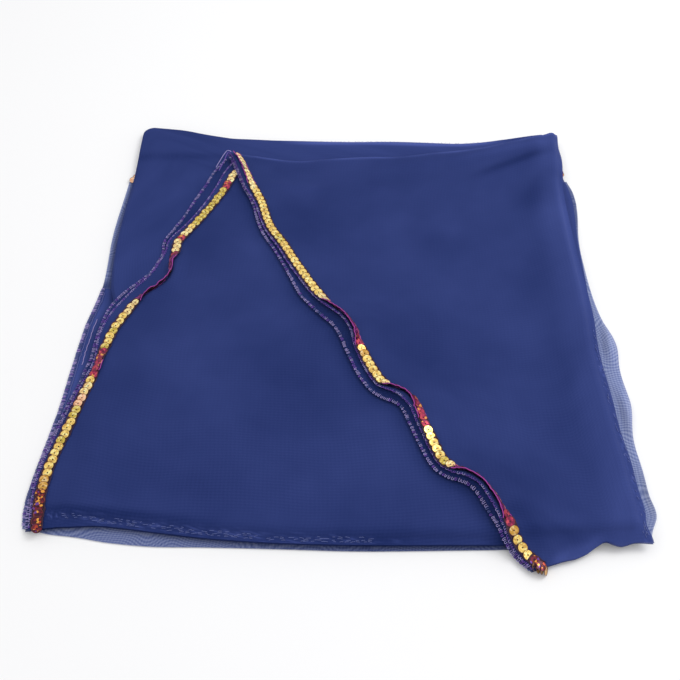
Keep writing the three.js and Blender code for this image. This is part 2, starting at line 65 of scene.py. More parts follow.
def through(tab, column, t):
    """A smooth value at t, which counts the rows of a table from 0."""
    v = tab[column]
    last = len(v) - 1
    i = np.clip(np.floor(t).astype(int), 0, last - 1)
    f = t - i
    a, b, c, d = (v[np.clip(i + k, 0, last)] for k in (-1, 0, 1, 2))
    return b + 0.5 * f * (c - a + f * (2 * a - 5 * b + 4 * c - d + f * (3 * (b - c) + d - a)))


def where(tab, key, column, at):
    """A smooth value where the key column reaches at."""
    at = np.asarray(at, float)
    keys = tab[key]
    i = np.clip(np.searchsorted(keys, at, side="right") - 1, 0, len(keys) - 2)
    f = np.clip((at - keys[i]) / (keys[i + 1] - keys[i]), 0, 1)
    return through(tab, column, i + f)


def smooth(t):
    """From 0 to 1 with a soft start and end."""
    t = np.clip(t, 0, 1)
    return t * t * (3 - 2 * t)


def lerp(a, b, t):
    return a + (b - a) * t


print("origin", ORIGIN)

# %% [markdown]
# ## The trimmed edges
#
# The shawl's edge crosses the back fold, so it shows twice: once on the upper stretch, running to
# the tip at the front right, and once on the lower stretch, running to the front left corner. For
# each we note the middle of the trim, how far the top layer's hem and the under layer's hem reach
# out from it, and where the trim rolls over and stands on edge. A curve drawn by hand could follow
# the edge too, but it couldn't carry the widths. A table with a row at each bend holds them all, and
# smooth curves run through its rows.

# %% Tables of the edges
UPPER_EDGE = table("x y own under roll", [
    (-88, 145.6, 6, 8, 0.45), (-82.3, 134, 6, 7.6, 0.62), (-76.5, 118, 6, 7.2, 0.62),
    (-71.8, 104.5, 6, 7, 0.4), (-68.3, 97.5, 5.8, 7, 0), (-62.5, 83, 5.4, 7.4, 0),
    (-57.6, 65, 5, 7.8, 0), (-52.4, 51.5, 5, 8, 0), (-43.4, 36, 5, 8.5, 0), (-33.4, 16, 5.2, 9, 0),
    (-20.5, -8, 4.5, 11.5, 0), (-13.8, -19, 4, 10.8, 0.2), (-5.8, -29.5, 3.6, 10.2, 0.9),
    (4.2, -40, 3.4, 10.8, 1), (10.5, -53, 3.4, 11, 1), (12.6, -63, 3.6, 10, 0.6),
    (16, -72, 4, 10, 0.2), (21.5, -85, 4.5, 10.5, 0), (27.5, -96, 4.5, 10, 0.1),
    (33, -101, 4, 9.4, 0.8), (39.5, -104.4, 4.2, 9, 1), (45.5, -108, 5.5, 9.8, 0.9),
    (50, -116, 4.8, 9.6, 0.6), (54, -130, 4.5, 8.8, 0.4), (60, -148, 4, 8.4, 0),
    (64, -157.5, 3.8, 7.8, 0), (70, -163, 3.8, 7, 0.5), (78, -166.3, 3.6, 6.5, 1),
    (86, -172, 3.6, 7, 1), (91.5, -181, 3.8, 7.6, 1), (96.3, -192, 4, 7.6, 0.8),
    (99.6, -201, 4.4, 7, 0.2), (105.3, -212, 4.6, 6.2, 0), (116.5, -224.5, 5.2, 6.4, 0),
])
LOWER_EDGE = table("x y own under roll", [
    (-80, 142.4, 9, 18, 0), (-88.8, 121, 8.8, 18.5, 0), (-94.1, 104, 8.2, 18.5, 0),
    (-102.6, 84, 7, 17.5, 0), (-111.3, 66.5, 6.4, 14.8, 0), (-118.8, 53, 6.8, 13.2, 0),
    (-124.8, 41.5, 7.8, 12.3, 0), (-125.4, 30, 8.4, 11, 0.2), (-126.8, 18, 10.5, 13, 0.8),
    (-126.2, 8, 14.5, 17.2, 1), (-129.8, -3, 15.5, 18.6, 1), (-140, -13.5, 13, 17.2, 1),
    (-147.6, -21.5, 10.5, 16.2, 0.3), (-154, -34, 10.6, 15.5, 0), (-159, -46, 9.6, 12.2, 0),
    (-161.9, -58, 8, 10.6, 0), (-164, -70, 5.4, 9, 0.3), (-165, -80, 5.8, 10.4, 0.5),
    (-168, -91.5, 6, 9.2, 0.1), (-172.2, -107, 5.8, 9.1, 0), (-175.4, -124, 6.6, 9.2, 0),
    (-179.2, -141, 6, 8, 0), (-182.1, -157, 6, 7.8, 0), (-183.2, -174, 5.4, 7.6, 0),
    (-182, -188, 5, 7.4, 0), (-180.5, -200, 5, 7.2, 0),
])
print(len(UPPER_EDGE["x"]), "and", len(LOWER_EDGE["x"]), "rows of the two edges")

# %% [markdown]
# ## The outlines
#
# These tables say where the back fold, the sides and the front lie. The pile's core is the line
# where the hidden layers start to round off, and the loose layers turn down over it there. They
# could be drawn as curves in Blender. Tables are handier here, because the height of the cloth needs
# the outlines at any point.

# %% Tables of the outlines
FOLD_LINE = table("x y", [
    (-97, 148.5), (-86, 145.5), (-57, 139), (-34, 136), (-9, 139), (24, 141.5), (51, 142),
    (79, 147), (122, 152.5), (154, 163), (178, 172), (192, 178),
])
RIGHT_SIDE = table("y core upper lower bottom", [
    (-210, 172, 184, 182.5, 184), (-200, 171.6, 181.5, 181, 187), (-190, 172, 183, 182, 191.5),
    (-176, 171.8, 182.2, 181.5, 190), (-155, 171.5, 182, 181.3, 190.5),
    (-132, 170.5, 180.3, 179.8, 190), (-108, 169.8, 180.4, 179.8, 193.5),
    (-76, 169.2, 179.5, 179, 193.3), (-58, 169.5, 180, 179.5, 194.5), (-35, 171, 181.8, 181.8, 190.5),
    (-10, 171.8, 182, 183.5, 187.8), (20, 171.8, 181.8, 185, 187.2), (50, 172, 182, 186.5, 188.2),
    (90, 173.2, 182.8, 190, 193.5), (110, 175, 184, 189.5, 193.8), (124, 177, 186.5, 187.5, 191),
    (144, 179.5, 189, 187, 190), (161, 181, 188.8, 186.5, 190), (178, 183, 190.5, 186, 190),
])
FRONT_SIDE = table("x core lower bottom", [
    (-190, -184, -194, -198), (-174, -185, -194.5, -201.5), (-158, -186, -195, -203.5),
    (-138, -188.5, -198, -207), (-112, -192, -201.5, -209.5), (-80, -196, -205.5, -210),
    (-40, -199.5, -208.5, -211), (10, -201, -210, -212.5), (65, -200.5, -210, -212),
    (118, -200.5, -209.5, -211), (150, -199.5, -206.5, -207.5), (187, -197, -204, -205.5),
])
UPPER_FRONT = table("x y", [
    (118, -225.5), (128.5, -220.5), (137, -218.6), (144.5, -215.4), (150.4, -211.8),
    (155.6, -209.5), (160, -210.6), (165, -211.5), (173, -209.8), (184, -210),
])
BOTTOM_LEFT = table("y x", [
    (-199, -190.5), (-186, -192.5), (-170, -192.5), (-142, -190), (-110, -187), (-74, -185.5),
    (-38, -183.5), (-10, -179.5), (8, -178), (60, -180), (124, -177.5),
])
PILE_LEFT = table("y x", [
    (-196, -144), (-66, -145), (-42, -150), (-20, -161), (0, -168), (30, -171.5), (70, -171.5),
    (125, -170), (160, -171), (188, -171.5),
])
PILE_BACK = table("x y", [
    (-171, 192), (-140, 187.3), (-118, 180.8), (-96, 176), (-35, 171.5), (35, 171), (85, 169),
    (110, 169), (140, 173), (184, 182),
])
BOTTOM_BACK = 124      # the bottom layer ends here, under the pile
print("fold from", FOLD_LINE["x"][0], "to", FOLD_LINE["x"][-1])

# %% [markdown]
# ## The height of the cloth
#
# Every loose layer has the same form, one pitch above the other, so layers never cross. The form
# rests on the pile, rounds off over its rim and comes down to the table. The creases are placed where
# the picture shows them. A cloth simulation could drop the layers on a pile instead. It would be
# slow, and it wouldn't give the folds of this one shawl, so a function of x and y gives the height.

# %% The form that all layers share
PITCH = 1.7            # from one layer to the next
PILE_BOTTOM = 1.7
HIDDEN_HEIGHT = 1.1    # of each hidden layer
HIDDEN_LAYERS = 4
PILE_TOP = PILE_BOTTOM + HIDDEN_LAYERS * HIDDEN_HEIGHT
PILE_RADIUS = 5
REST = 7.15            # middle of the lowest loose layer
TURN_DOWN = PILE_RADIUS + REST - PILE_TOP
TURN_OUT = 6           # radius at the foot of the rim's slope
FALL = 4.8             # how far a loose layer comes down over the rim
RIM_ANGLE = math.acos(1 - FALL / (TURN_DOWN + TURN_OUT))
RIM_WIDTH = (TURN_DOWN + TURN_OUT) * math.sin(RIM_ANGLE)
TENT = dict(inner=-150, outer=-187, back=-28, front=-85)  # the slope at the front left
SWELLS = table("x y width depth height", [
    (-118, 118, 62, 70, 0.9), (75, 10, 95, 90, 1.3), (-55, -105, 75, 65, 1.0),
    (120, -120, 60, 60, 0.7),
])


def rim_drop(out):
    """How far the cloth has come down at a distance out from the core line."""
    turn = TURN_DOWN * math.sin(RIM_ANGLE)
    first = TURN_DOWN - np.sqrt(np.maximum(TURN_DOWN ** 2 - np.clip(out, 0, turn) ** 2, 0))
    left = np.maximum(0, RIM_WIDTH - out)
    second = FALL - (TURN_OUT - np.sqrt(np.maximum(TURN_OUT ** 2 - left ** 2, 0)))
    return np.where(out <= 0, 0, np.where(out < turn, first, second))


def swell(x, y):
    """The broad soft humps of the pile."""
    total = 0
    for k in range(len(SWELLS["x"])):
        sx, sy, w, d, h = (SWELLS[c][k] for c in ("x", "y", "width", "depth", "height"))
        total = total + h * np.exp(-((x - sx) / w) ** 2 - ((y - sy) / d) ** 2)
    return total


def past_core(x, y):
    """How far points lie out from the pile's core line, at the right and at the front."""
    return x - where(RIGHT_SIDE, "y", "core", y), where(FRONT_SIDE, "x", "core", x) - y


def rest_height(x, y):
    """The height of the lowest loose layer without its creases."""
    right, front = past_core(x, y)
    rim = rim_drop(np.hypot(np.maximum(0, right), np.maximum(0, front)))
    outward = np.clip((TENT["inner"] - x) / (TENT["inner"] - TENT["outer"]), 0, 1)
    slope = 0.5 - 0.5 * np.cos(np.pi * outward)
    tent = FALL * slope * smooth((TENT["back"] - y) / (TENT["back"] - TENT["front"]))
    return REST + swell(x, y) * (1 - rim / FALL) - np.maximum(rim, tent)


print("rim is", round(RIM_WIDTH, 2), "mm wide; a loose layer rests at", REST, "mm")

# %% [markdown]
# ## Creases
#
# The upper stretch has soft pleats that fan out from its back right corner, and some shallow creases
# cross the body. Each is a straight line with a width and a height that fades at the ends. The
# streaks are lines of the same kind that paint light and shade along the pleats: above 0 the cloth
# looks paler there, a painted highlight, and below 0 deeper, a painted shade. Sculpting could make
# them too, but here each one is moved or removed by changing one row.

# %% Creases placed one by one
UPPER_CREASES = table("x0 y0 x1 y1 width amount", [
    (182, 168, 84, 138, 8, 2.2), (182, 152, 92, 104, 12, 2.0), (180, 128, 138, 74, 12, 1.4),
    (150, 150, 20, 128, 7, 0.9), (-62, 108, 10, 98, 4, 0.5), (60, 60, 130, 20, 20, 0.8),
    (20, -30, 150, -70, 26, 0.7), (90, -100, 175, -120, 16, 0.6), (110, -170, 178, -150, 14, 0.6),
])
LOWER_CREASES = table("x0 y0 x1 y1 width amount", [
    (-80, 40, -30, -120, 22, 0.7), (-150, -90, -60, -160, 16, 0.6), (-130, -40, -60, -60, 14, 0.5),
    (-10, -90, 50, -190, 18, 0.6),
])
# painted light and shade of the upper pleats: above 0 a painted highlight, below 0 painted shade
UPPER_LIGHT_AND_SHADE_STREAKS = table("x0 y0 x1 y1 width amount", [
    (176, 151, 92, 106, 5, -0.24), (184, 166, 60, 126, 5, 0.14), (180, 134, 138, 60, 10, -0.16),
    (179, 110, 177, -70, 4, 0.16), (72, 66, 100, 40, 15, 0.12), (20, 20, 150, -60, 24, 0.08),
    (104, -186, 122, -224, 8, -0.20), (-50, 90, 60, 10, 20, -0.06), (170, -40, 120, -190, 20, -0.06),
])
# painted light and shade of the lower stretch, along its front rim and over its body
LOWER_LIGHT_AND_SHADE_STREAKS = table("x0 y0 x1 y1 width amount", [
    (-178, -186, -60, -199, 3, -0.16), (-60, 60, -20, -120, 22, 0.07),
    (-150, -60, -40, -130, 20, 0.06),
])
print("highest crease", UPPER_CREASES["amount"].max(), "mm")

# %% [markdown]
# The upper stretch also stands off the rims a little, because the cloth is springy there, and at the
# front it hangs past the lower one and sinks to the table. The lower stretch has creases only where
# it is open to view.

# %% Lift of the two stretches
STAND_OFF = dict(front=1.1, right=0.5)   # how far the upper stretch stands off the rims
STAND_OFF_START = -8                     # from here on, counted out from the core line
STAND_OFF_END = 6
CREASE_FADE = 12                         # creases fade out over this width before the rims
SINK_START = RIM_WIDTH - 1               # in front of this the upper stretch drops to the table
COVER = dict(slope=0.62, start=-20, blend=60)   # the upper stretch lies over this slanting line


def soft_lines(lines, x, y):
    """The sum of soft straight lines, each full at its start and fading out to its end."""
    total = 0
    for k in range(len(lines["x0"])):
        x0, y0, x1, y1, w, h = (lines[c][k] for c in ("x0", "y0", "x1", "y1", "width", "amount"))
        ax, ay = x1 - x0, y1 - y0
        length = math.hypot(ax, ay)
        along = ((x - x0) * ax + (y - y0) * ay) / length ** 2
        off = ((x - x0) * ay - (y - y0) * ax) / length
        fade = smooth((along + 0.15) / 0.3) * smooth((1 - along) / 0.6)
        total = total + h * fade * np.exp(-((off / w) ** 2))
    return total


def before_rims(right, front):
    """1 on the flat of the pile, fading to 0 at its rims."""
    return smooth(-front / CREASE_FADE) * smooth(-right / CREASE_FADE)


def upper_lift(x, y):
    right, front = past_core(x, y)
    off_front, off_right = (
        STAND_OFF[side] * smooth((out - STAND_OFF_START) / 9)
        for side, out in (("front", front), ("right", right))
    )
    off_front = off_front * (1 - smooth((front - STAND_OFF_END) / 6))
    sink = 2 * PITCH * smooth((front - SINK_START) / 9)
    creases = before_rims(right, front) * soft_lines(UPPER_CREASES, x, y)
    return creases + np.maximum(off_front, off_right) - sink


def lower_lift(x, y):
    open_part = smooth((COVER["start"] - (x + COVER["slope"] * y)) / COVER["blend"])
    return before_rims(*past_core(x, y)) * open_part * soft_lines(LOWER_CREASES, x, y)


print("lift at the middle of the upper stretch", round(float(upper_lift(60.0, 0.0)), 2), "mm")

# %% [markdown]
# ## Rows and columns of a layer
#
# A layer of cloth is a grid of points. Its rows run along the edge from the back fold to the front,
# and its columns go from the hem to the right side. Near the edge the columns follow the trim, so
# the hem, the roll of the trim and its small puckers can be laid out by distance from it. A square
# grid would be simpler, but it would cut the slanting hem into steps.

# %% Rows along an edge
ROW_SPACING = 2.6
RIM_ROWS = 14          # rows that step over the front rim
RIM_RUN = RIM_WIDTH + 3
EDGE_SAMPLES = 4000
EDGE_VIEW = 9          # the edge's direction is taken over this far each way
FOLD_BLEND = 30        # the columns turn away from the fold's direction over this far
FRONT_BLEND = 14       # and into the front line's direction over this far
UPPER = dict(edge=UPPER_EDGE, side=1, reach="upper", front=UPPER_FRONT, lead=(0.95, 0.31),
             lift=upper_lift)
LOWER = dict(edge=LOWER_EDGE, side=-1, reach="lower", lead=(0.992, 0.13),
             front=dict(x=FRONT_SIDE["x"], y=FRONT_SIDE["lower"]), lift=lower_lift)


def stations(stretch):
    """Points along the edge, with the direction into the cloth and the step over the front rim."""
    edge = stretch["edge"]
    t = np.linspace(0, len(edge["x"]) - 1, EDGE_SAMPLES)
    fine = {c: through(edge, c, t) for c in edge}
    steps = np.hypot(np.diff(fine["x"]), np.diff(fine["y"]))
    length = np.concatenate([[0], np.cumsum(steps)])
    total = length[-1]
    body_end = total - RIM_RUN
    body = np.linspace(0, body_end, int(body_end / ROW_SPACING))
    rows = np.concatenate([body, np.linspace(body_end, total, RIM_ROWS)[1:]])
    at = lambda s, c: np.interp(s, length, fine[c])
    ax, ay = (at(rows + EDGE_VIEW, c) - at(rows - EDGE_VIEW, c) for c in ("x", "y"))
    inward = np.stack([-ay, ax], 1) / np.hypot(ax, ay)[:, None]
    fold = np.array([FOLD_LINE[c][2] - FOLD_LINE[c][0] for c in ("x", "y")])
    fold = fold / np.hypot(*fold)
    near = smooth(rows / FOLD_BLEND)[:, None]
    inward = inward * near + fold * (1 - near)
    ahead = smooth((total - rows) / FRONT_BLEND)[:, None]
    inward = inward * ahead + np.array(stretch["lead"]) * (1 - ahead)
    inward /= np.linalg.norm(inward, axis=1)[:, None]
    out = {c: at(rows, c) for c in edge}
    out["roll"] = np.clip(out["roll"], 0, 1)
    step = np.clip(RIM_WIDTH * (1 - (total - rows) / RIM_RUN), 0, None)
    out.update(length=rows, inward=inward, body=body_end, total=total, step=step)
    return out


for word, stretch in (("upper", UPPER), ("lower", LOWER)):
    print("the", word, "edge is", round(stations(stretch)["total"]), "mm long")

# %% [markdown]
# ## Hem, trim and ridge
#
# Close to the edge the shape depends only on the distance from the middle of the trim. Where the
# trim rolls over, it pulls the cloth up to a ridge that is steep under the trim and gentle behind
# it. The tight sewing also draws small puckers, a few millimetres long. A bump texture could fake
# this relief. It is real geometry here, because the discs and threads sit on it.

# %% Columns that follow the trim
TRIM_WIDTH = 6
ROLLED_WIDTH = 4.5
CREST = 3.8            # how high the trim's edge stands where it is rolled
UNDER_CREST = 0.45     # the under layer rises this share as high
NEAR_EDGE = 13         # the columns follow the trim as far in as this
NEAR_COLUMNS = 26
CROWDING = 1.15        # above 1 the columns stand closer together at the hem
PUCKER = dict(height=0.16, spacing=7.3, swing=1.3, drift=23, width=7)


def ridge(offset, st, side):
    """The height of the cloth where the trim rolls on edge: steep under it, gentle behind."""
    span = lerp(TRIM_WIDTH, ROLLED_WIDTH, st["roll"])[:, None]
    crest = -0.5 * side * span
    steep = side * (offset - crest)
    gentle = crest + st["under"][:, None] if side > 0 else NEAR_EDGE - crest
    fall = np.where(steep > 0, steep / span, -steep / gentle)
    return CREST * st["roll"][:, None] * (1 - smooth(fall))


def near_columns(stretch, st, own_edge, crest_share):
    """The columns from the hem to where the rest of the layer starts, and their extra height."""
    edge_out = (st["own"] if own_edge else st["under"])[:, None]
    share = np.linspace(0, 1, NEAR_COLUMNS) ** CROWDING
    offsets = -edge_out + (edge_out + NEAR_EDGE) * share
    x = st["x"][:, None] + st["inward"][:, :1] * offsets
    y = st["y"][:, None] + st["inward"][:, 1:] * offsets
    drift = PUCKER["swing"] * np.sin(st["length"] / PUCKER["drift"])
    turn = st["length"] * 2 * np.pi / PUCKER["spacing"]
    pucker = PUCKER["height"] * np.sin(turn + drift)[:, None]
    up = crest_share * ridge(offsets, st, stretch["side"])
    return x, y, up + pucker * np.exp(-((offsets / PUCKER["width"]) ** 2))


print("the trim stands up to", CREST, "mm where it rolls over")

# %% [markdown]
# ## The rest of a layer
#
# The other columns spread out from there to the right side. The first rows follow the curve of the
# back fold and the last rows the curve of the front edge, and each curve fades out towards the
# middle. Over the rims the columns stand closer together, so the cloth bends in small steps.

# %% A whole layer
INNER_COLUMNS = 91
RIM_COLUMNS = 12
LAST_STEP = 7.8        # the rows follow the rim as far out as this and then run to the hem
FOLD_REACH = 110       # how far from the fold its curve still shows
FRONT_REACH = 70       # the same for the front edge
FRONT_EASE = 0.12      # the front's curve sets in over this share of the width


def front_depth(stretch, st, x):
    """Where each row lies at x, if it follows the front edge."""
    turned = where(FRONT_SIDE, "x", "core", x) - np.minimum(st["step"], LAST_STEP)[:, None]
    to_hem = np.clip((st["step"] - LAST_STEP) / (RIM_WIDTH - LAST_STEP), 0, 1)
    return lerp(turned, where(stretch["front"], "x", "y", x), to_hem[:, None])


def far_columns(stretch, st, from_x, from_y):
    """The columns from the last one near the edge to the right side."""
    reach = stretch["reach"]
    corner_x = stretch["front"]["x"][-1]
    fold_x = float(where(RIGHT_SIDE, "y", reach, FOLD_LINE["y"][-1]))
    fold_y = float(where(FOLD_LINE, "x", "y", fold_x))
    share = np.minimum(1, st["length"] / st["body"])
    corner_y = front_depth(stretch, st, np.full((len(share), 1), corner_x))[:, 0]
    right_y = lerp(fold_y, corner_y, share)
    right = where(RIGHT_SIDE, "y", reach, right_y)[:, None]
    core = where(RIGHT_SIDE, "y", "core", right_y)[:, None]
    x = np.concatenate([lerp(from_x, core, np.linspace(0, 1, INNER_COLUMNS + 1)[1:]),
                        lerp(core, right, np.linspace(0, 1, RIM_COLUMNS + 1)[1:])], axis=1)
    v = (x - from_x) / (right - from_x)
    fold_line = where(FOLD_LINE, "x", "y", lerp(from_x[0], fold_x, v))
    fold_bulge = fold_line - lerp(from_y[0], fold_y, v)
    first = int(np.argmax(st["step"] > 0)) - 1
    start = np.maximum(np.arange(len(share)), first)
    front_x = lerp(from_x[start], corner_x, v)
    straight = lerp(from_y[start], front_depth(stretch, st, np.full_like(front_x, corner_x)), v)
    front_bulge = (front_depth(stretch, st, front_x) - straight) * smooth(v / FRONT_EASE)
    by_fold = 1 - smooth(st["length"] / FOLD_REACH)[:, None]
    by_front = 1 - smooth((st["body"] - st["length"]) / FRONT_REACH)[:, None]
    y = lerp(from_y, right_y[:, None], v)
    return x, y + by_fold * fold_bulge + by_front * front_bulge


def layer_grid(stretch, layer, own_edge, crest_share):
    """A layer's points. own_edge is True where it ends at the top layer's hem."""
    st = stations(stretch)
    near_x, near_y, near_up = near_columns(stretch, st, own_edge, crest_share)
    far_x, far_y = far_columns(stretch, st, near_x[:, -1:], near_y[:, -1:])
    x = np.concatenate([near_x, far_x], axis=1)
    y = np.concatenate([near_y, far_y], axis=1)
    up = np.concatenate([near_up, np.zeros_like(far_x)], axis=1)
    z = rest_height(x, y) + layer * PITCH + up + stretch["lift"](x, y)
    return np.stack([x, y, z], axis=2), st


print("a layer has", NEAR_COLUMNS + INNER_COLUMNS + RIM_COLUMNS, "columns")

# %% [markdown]
# ## From points to cloth
#
# The grid turns into a mesh of four-sided faces. It gets a UV map in cloth directions, which the
# weave of the material follows, and a value at each point that later shifts the shade, much of it
# as painted light and shade. Geometry nodes could build it as well. Handing over ready lists of
# points and faces is the shortest way when a function already gives every point.

# %% From points to a mesh
UV_SIZE = 400          # millimetres of cloth for one unit of the UV map


def link(obj):
    bpy.context.scene.collection.objects.link(obj)
    return obj


def to_part(points):
    return (np.asarray(points, float).reshape(-1, 3) - ORIGIN) * MM


def mesh_piece(name, points, faces, material, smooth_faces=True):
    data = bpy.data.meshes.new(name)
    data.from_pydata(to_part(points).tolist(), [], [list(map(int, face)) for face in faces])
    data.update()
    for m in (material if isinstance(material, list) else [material]):
        data.materials.append(m)
    data.polygons.foreach_set("use_smooth", [smooth_faces] * len(data.polygons))
    return link(bpy.data.objects.new(name, data))


def grid_faces(rows, columns):
    k = np.arange(rows * columns).reshape(rows, columns)
    return np.stack([k[:-1, :-1], k[:-1, 1:], k[1:, 1:], k[1:, :-1]], axis=2).reshape(-1, 4)


def grid_uv(obj, grid):
    """UV in cloth directions, along the rows and along the columns."""
    rows, columns, _ = grid.shape
    u = np.zeros((rows, columns))
    v = np.zeros((rows, columns))
    u[:, 1:] = np.cumsum(np.linalg.norm(np.diff(grid, axis=1), axis=2), axis=1)
    u = u - u[:, -1:] + u[:, -1].max()
    v[1:] = np.cumsum(np.linalg.norm(np.diff(grid, axis=0), axis=2), axis=0)
    uv = np.stack([u, v], axis=2).reshape(-1, 2) / UV_SIZE
    layer = obj.data.uv_layers.new(name="UVMap")
    loops = np.zeros(len(obj.data.loops), int)
    obj.data.loops.foreach_get("vertex_index", loops)
    layer.data.foreach_set("uv", uv[loops].ravel())


def set_tint_and_painted_light(obj, tint_and_painted_light):
    """A value at each point: above 0 the cloth looks paler there, below 0 deeper.

    Much of it is painted light and shade.
    """
    layer = obj.data.attributes.new("tint_and_painted_light", "FLOAT", "POINT")
    layer.data.foreach_set("value", np.asarray(tint_and_painted_light, float).ravel())


print("one unit of the UV map is", UV_SIZE, "mm of cloth")

# %% [markdown]
# Each piece names what it rides on, its material slot and the CAD node it stands for. A sheet of
# cloth also prints the area of cloth it uses, so that it can be compared with the area of real
# cloth.

# %% A piece of cloth
def place(obj, node=None):
    """Attach a piece to what it rides on and hide the CAD node it replaces."""
    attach(obj, "root")
    if node:
        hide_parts(node)
    return obj


def cloth(name, grid, tint_and_painted_light, material, node):
    """A sheet of cloth, which prints the cloth it uses in square metres."""
    rows, columns, _ = grid.shape
    obj = mesh_piece(name, grid, grid_faces(rows, columns), material)
    grid_uv(obj, grid)
    set_tint_and_painted_light(obj, tint_and_painted_light)
    place(obj, node)
    a, b, c = grid[:-1, :-1], grid[:-1, 1:], grid[1:, :-1]
    measured = np.linalg.norm(np.cross(b - a, c - a), axis=2).sum() * MM ** 2
    print(f"{name}: {rows} x {columns} points, {measured:.4f} m2 of cloth")
    return obj


print("ready to lay cloth")

# %% [markdown]
# ## Materials
#
# A material in Blender is a graph of nodes that ends in a shader. Two helpers keep the graphs short:
# one makes a material with its shader's values, and one adds nodes and joins them. Distances in a
# pattern are given in millimetres of cloth.

# %% Material helpers
def principled(name, color, roughness, **more):
    """A material and its shader. More names other sockets, with _ for a space."""
    mat = bpy.data.materials.new(name)
    mat.use_nodes = True
    node = mat.node_tree.nodes["Principled BSDF"]
    node.inputs["Base Color"].default_value = (*color, 1)
    node.inputs["Roughness"].default_value = roughness
    for key, value in more.items():
        node.inputs[key.replace("_", " ")].default_value = value
    return mat, node


class Graph:
    """A short way to add nodes: each method returns the output of a new node."""

    def __init__(self, mat):
        self.nodes, self.links = mat.node_tree.nodes, mat.node_tree.links
        self.coords = self.nodes.new("ShaderNodeTexCoord")

    def put(self, socket, value):
        if hasattr(value, "is_output"):
            self.links.new(value, socket)
        else:
            socket.default_value = value

    def math(self, operation, *values):
        node = self.nodes.new("ShaderNodeMath")
        node.operation = operation
        for socket, value in zip(node.inputs, values):
            self.put(socket, value)
        return node.outputs[0]

    def noise(self, scale, detail=2):
        node = self.nodes.new("ShaderNodeTexNoise")
        node.inputs["Scale"].default_value = scale
        node.inputs["Detail"].default_value = detail
        self.links.new(self.coords.outputs["UV"], node.inputs["Vector"])
        return node.outputs["Fac"]

    def wave(self, direction, spacing, bend, patch=50):
        """Lines at a spacing, bent by so many radians over patches, both in millimetres."""
        node = self.nodes.new("ShaderNodeTexWave")
        node.bands_direction = direction
        scale = UV_SIZE / spacing * 2 * math.pi / 20
        node.inputs["Scale"].default_value = scale
        node.inputs["Distortion"].default_value = bend
        node.inputs["Detail"].default_value = 0.5
        node.inputs["Detail Scale"].default_value = UV_SIZE / patch / scale
        self.links.new(self.coords.outputs["UV"], node.inputs["Vector"])
        return node.outputs["Fac"]

    def value(self, name):
        node = self.nodes.new("ShaderNodeAttribute")
        node.attribute_name = name
        return node.outputs["Fac"]

    def mix(self, factor, a, b):
        node = self.nodes.new("ShaderNodeMix")
        node.data_type = "RGBA"
        self.put(node.inputs["Factor"], factor)
        for socket, color in ((node.inputs["A"], a), (node.inputs["B"], b)):
            self.put(socket, color if hasattr(color, "is_output") else (*color, 1))
        return node.outputs["Result"]

    def bump(self, height, strength, shader):
        node = self.nodes.new("ShaderNodeBump")
        node.inputs["Strength"].default_value = strength
        node.inputs["Distance"].default_value = MM
        self.links.new(height, node.inputs["Height"])
        self.links.new(node.outputs["Normal"], shader.inputs["Normal"])


print("fine noise has", round(UV_SIZE / 560, 2), "mm from grain to grain")

# %% [markdown]
# ## Chiffon
#
# Chiffon is a very thin plain weave of twisted yarn. One layer lets the table show through, and
# where many lie together it looks solid and deep. Two crossing sets of faint lines stand for the
# moire of stacked layers. They come and go in patches, since the layers don't lie evenly. Larger
# patches vary the depth of the blue, and a fine grain stands for the yarn and also gives the bump.
# The tint at each point makes the rims paler, partly where few layers lie and partly as painted
# sheen, and it carries painted light and shade: deeper beside hems, paler or deeper along creases,
# paler on the turned fold. Modelled yarns would need millions of faces, and an image of cloth would
# repeat. Wave and noise textures give the look at any distance.

# %% Chiffon
DULL = 0.06            # chiffon has next to no gloss
DEEP = (0.011, 0.023, 0.112)
PALE = (0.068, 0.098, 0.335)


def chiffon(name, deep, pale, alpha):
    mat, shader = principled(name, deep, 0.8, Alpha=alpha, Specular_IOR_Level=DULL, Sheen_Weight=0.05,
                             Sheen_Roughness=0.4, Sheen_Tint=(0.35, 0.45, 1, 1))
    g = Graph(mat)
    across = g.wave("X", spacing=2.6, bend=5)
    moire = g.math("MULTIPLY_ADD", across, 0.6, g.wave("Y", spacing=2.1, bend=9))
    moire = g.math("MULTIPLY", moire, g.math("SMOOTH_MIN", g.noise(13), 0.62, 0.1))
    grain = g.noise(560, detail=1)
    level = g.math("MULTIPLY_ADD", moire, 0.10, -0.12)
    level = g.math("MULTIPLY_ADD", g.noise(6, detail=3), 0.46, level)
    level = g.math("MULTIPLY_ADD", grain, 0.10, level)
    # the tint adds painted light and shade, and the paleness of thin places, to the cloth's colour
    level = g.math("ADD", level, g.value("tint_and_painted_light"))
    g.links.new(g.mix(level, deep, pale), shader.inputs["Base Color"])
    g.bump(grain, 0.12, shader)
    return mat


chiffon_mat = chiffon("chiffon", DEEP, PALE, 0.9)
pile_mat = chiffon("chiffon_pile", DEEP, PALE, 1.0)
print("chiffon for loose layers and for the pile")

# %% [markdown]
# A single layer over the pale table looks quite different. Its yarns and their shadow on the table
# cross at a slight angle, which gives curved dark lines, the moire of sheer cloth. One wave texture
# with strong, slow bends draws them, and a weak one crosses them. Here the tint says how free the
# layer lies: 1 for a single layer over the table and 0 where more layers lie behind it.

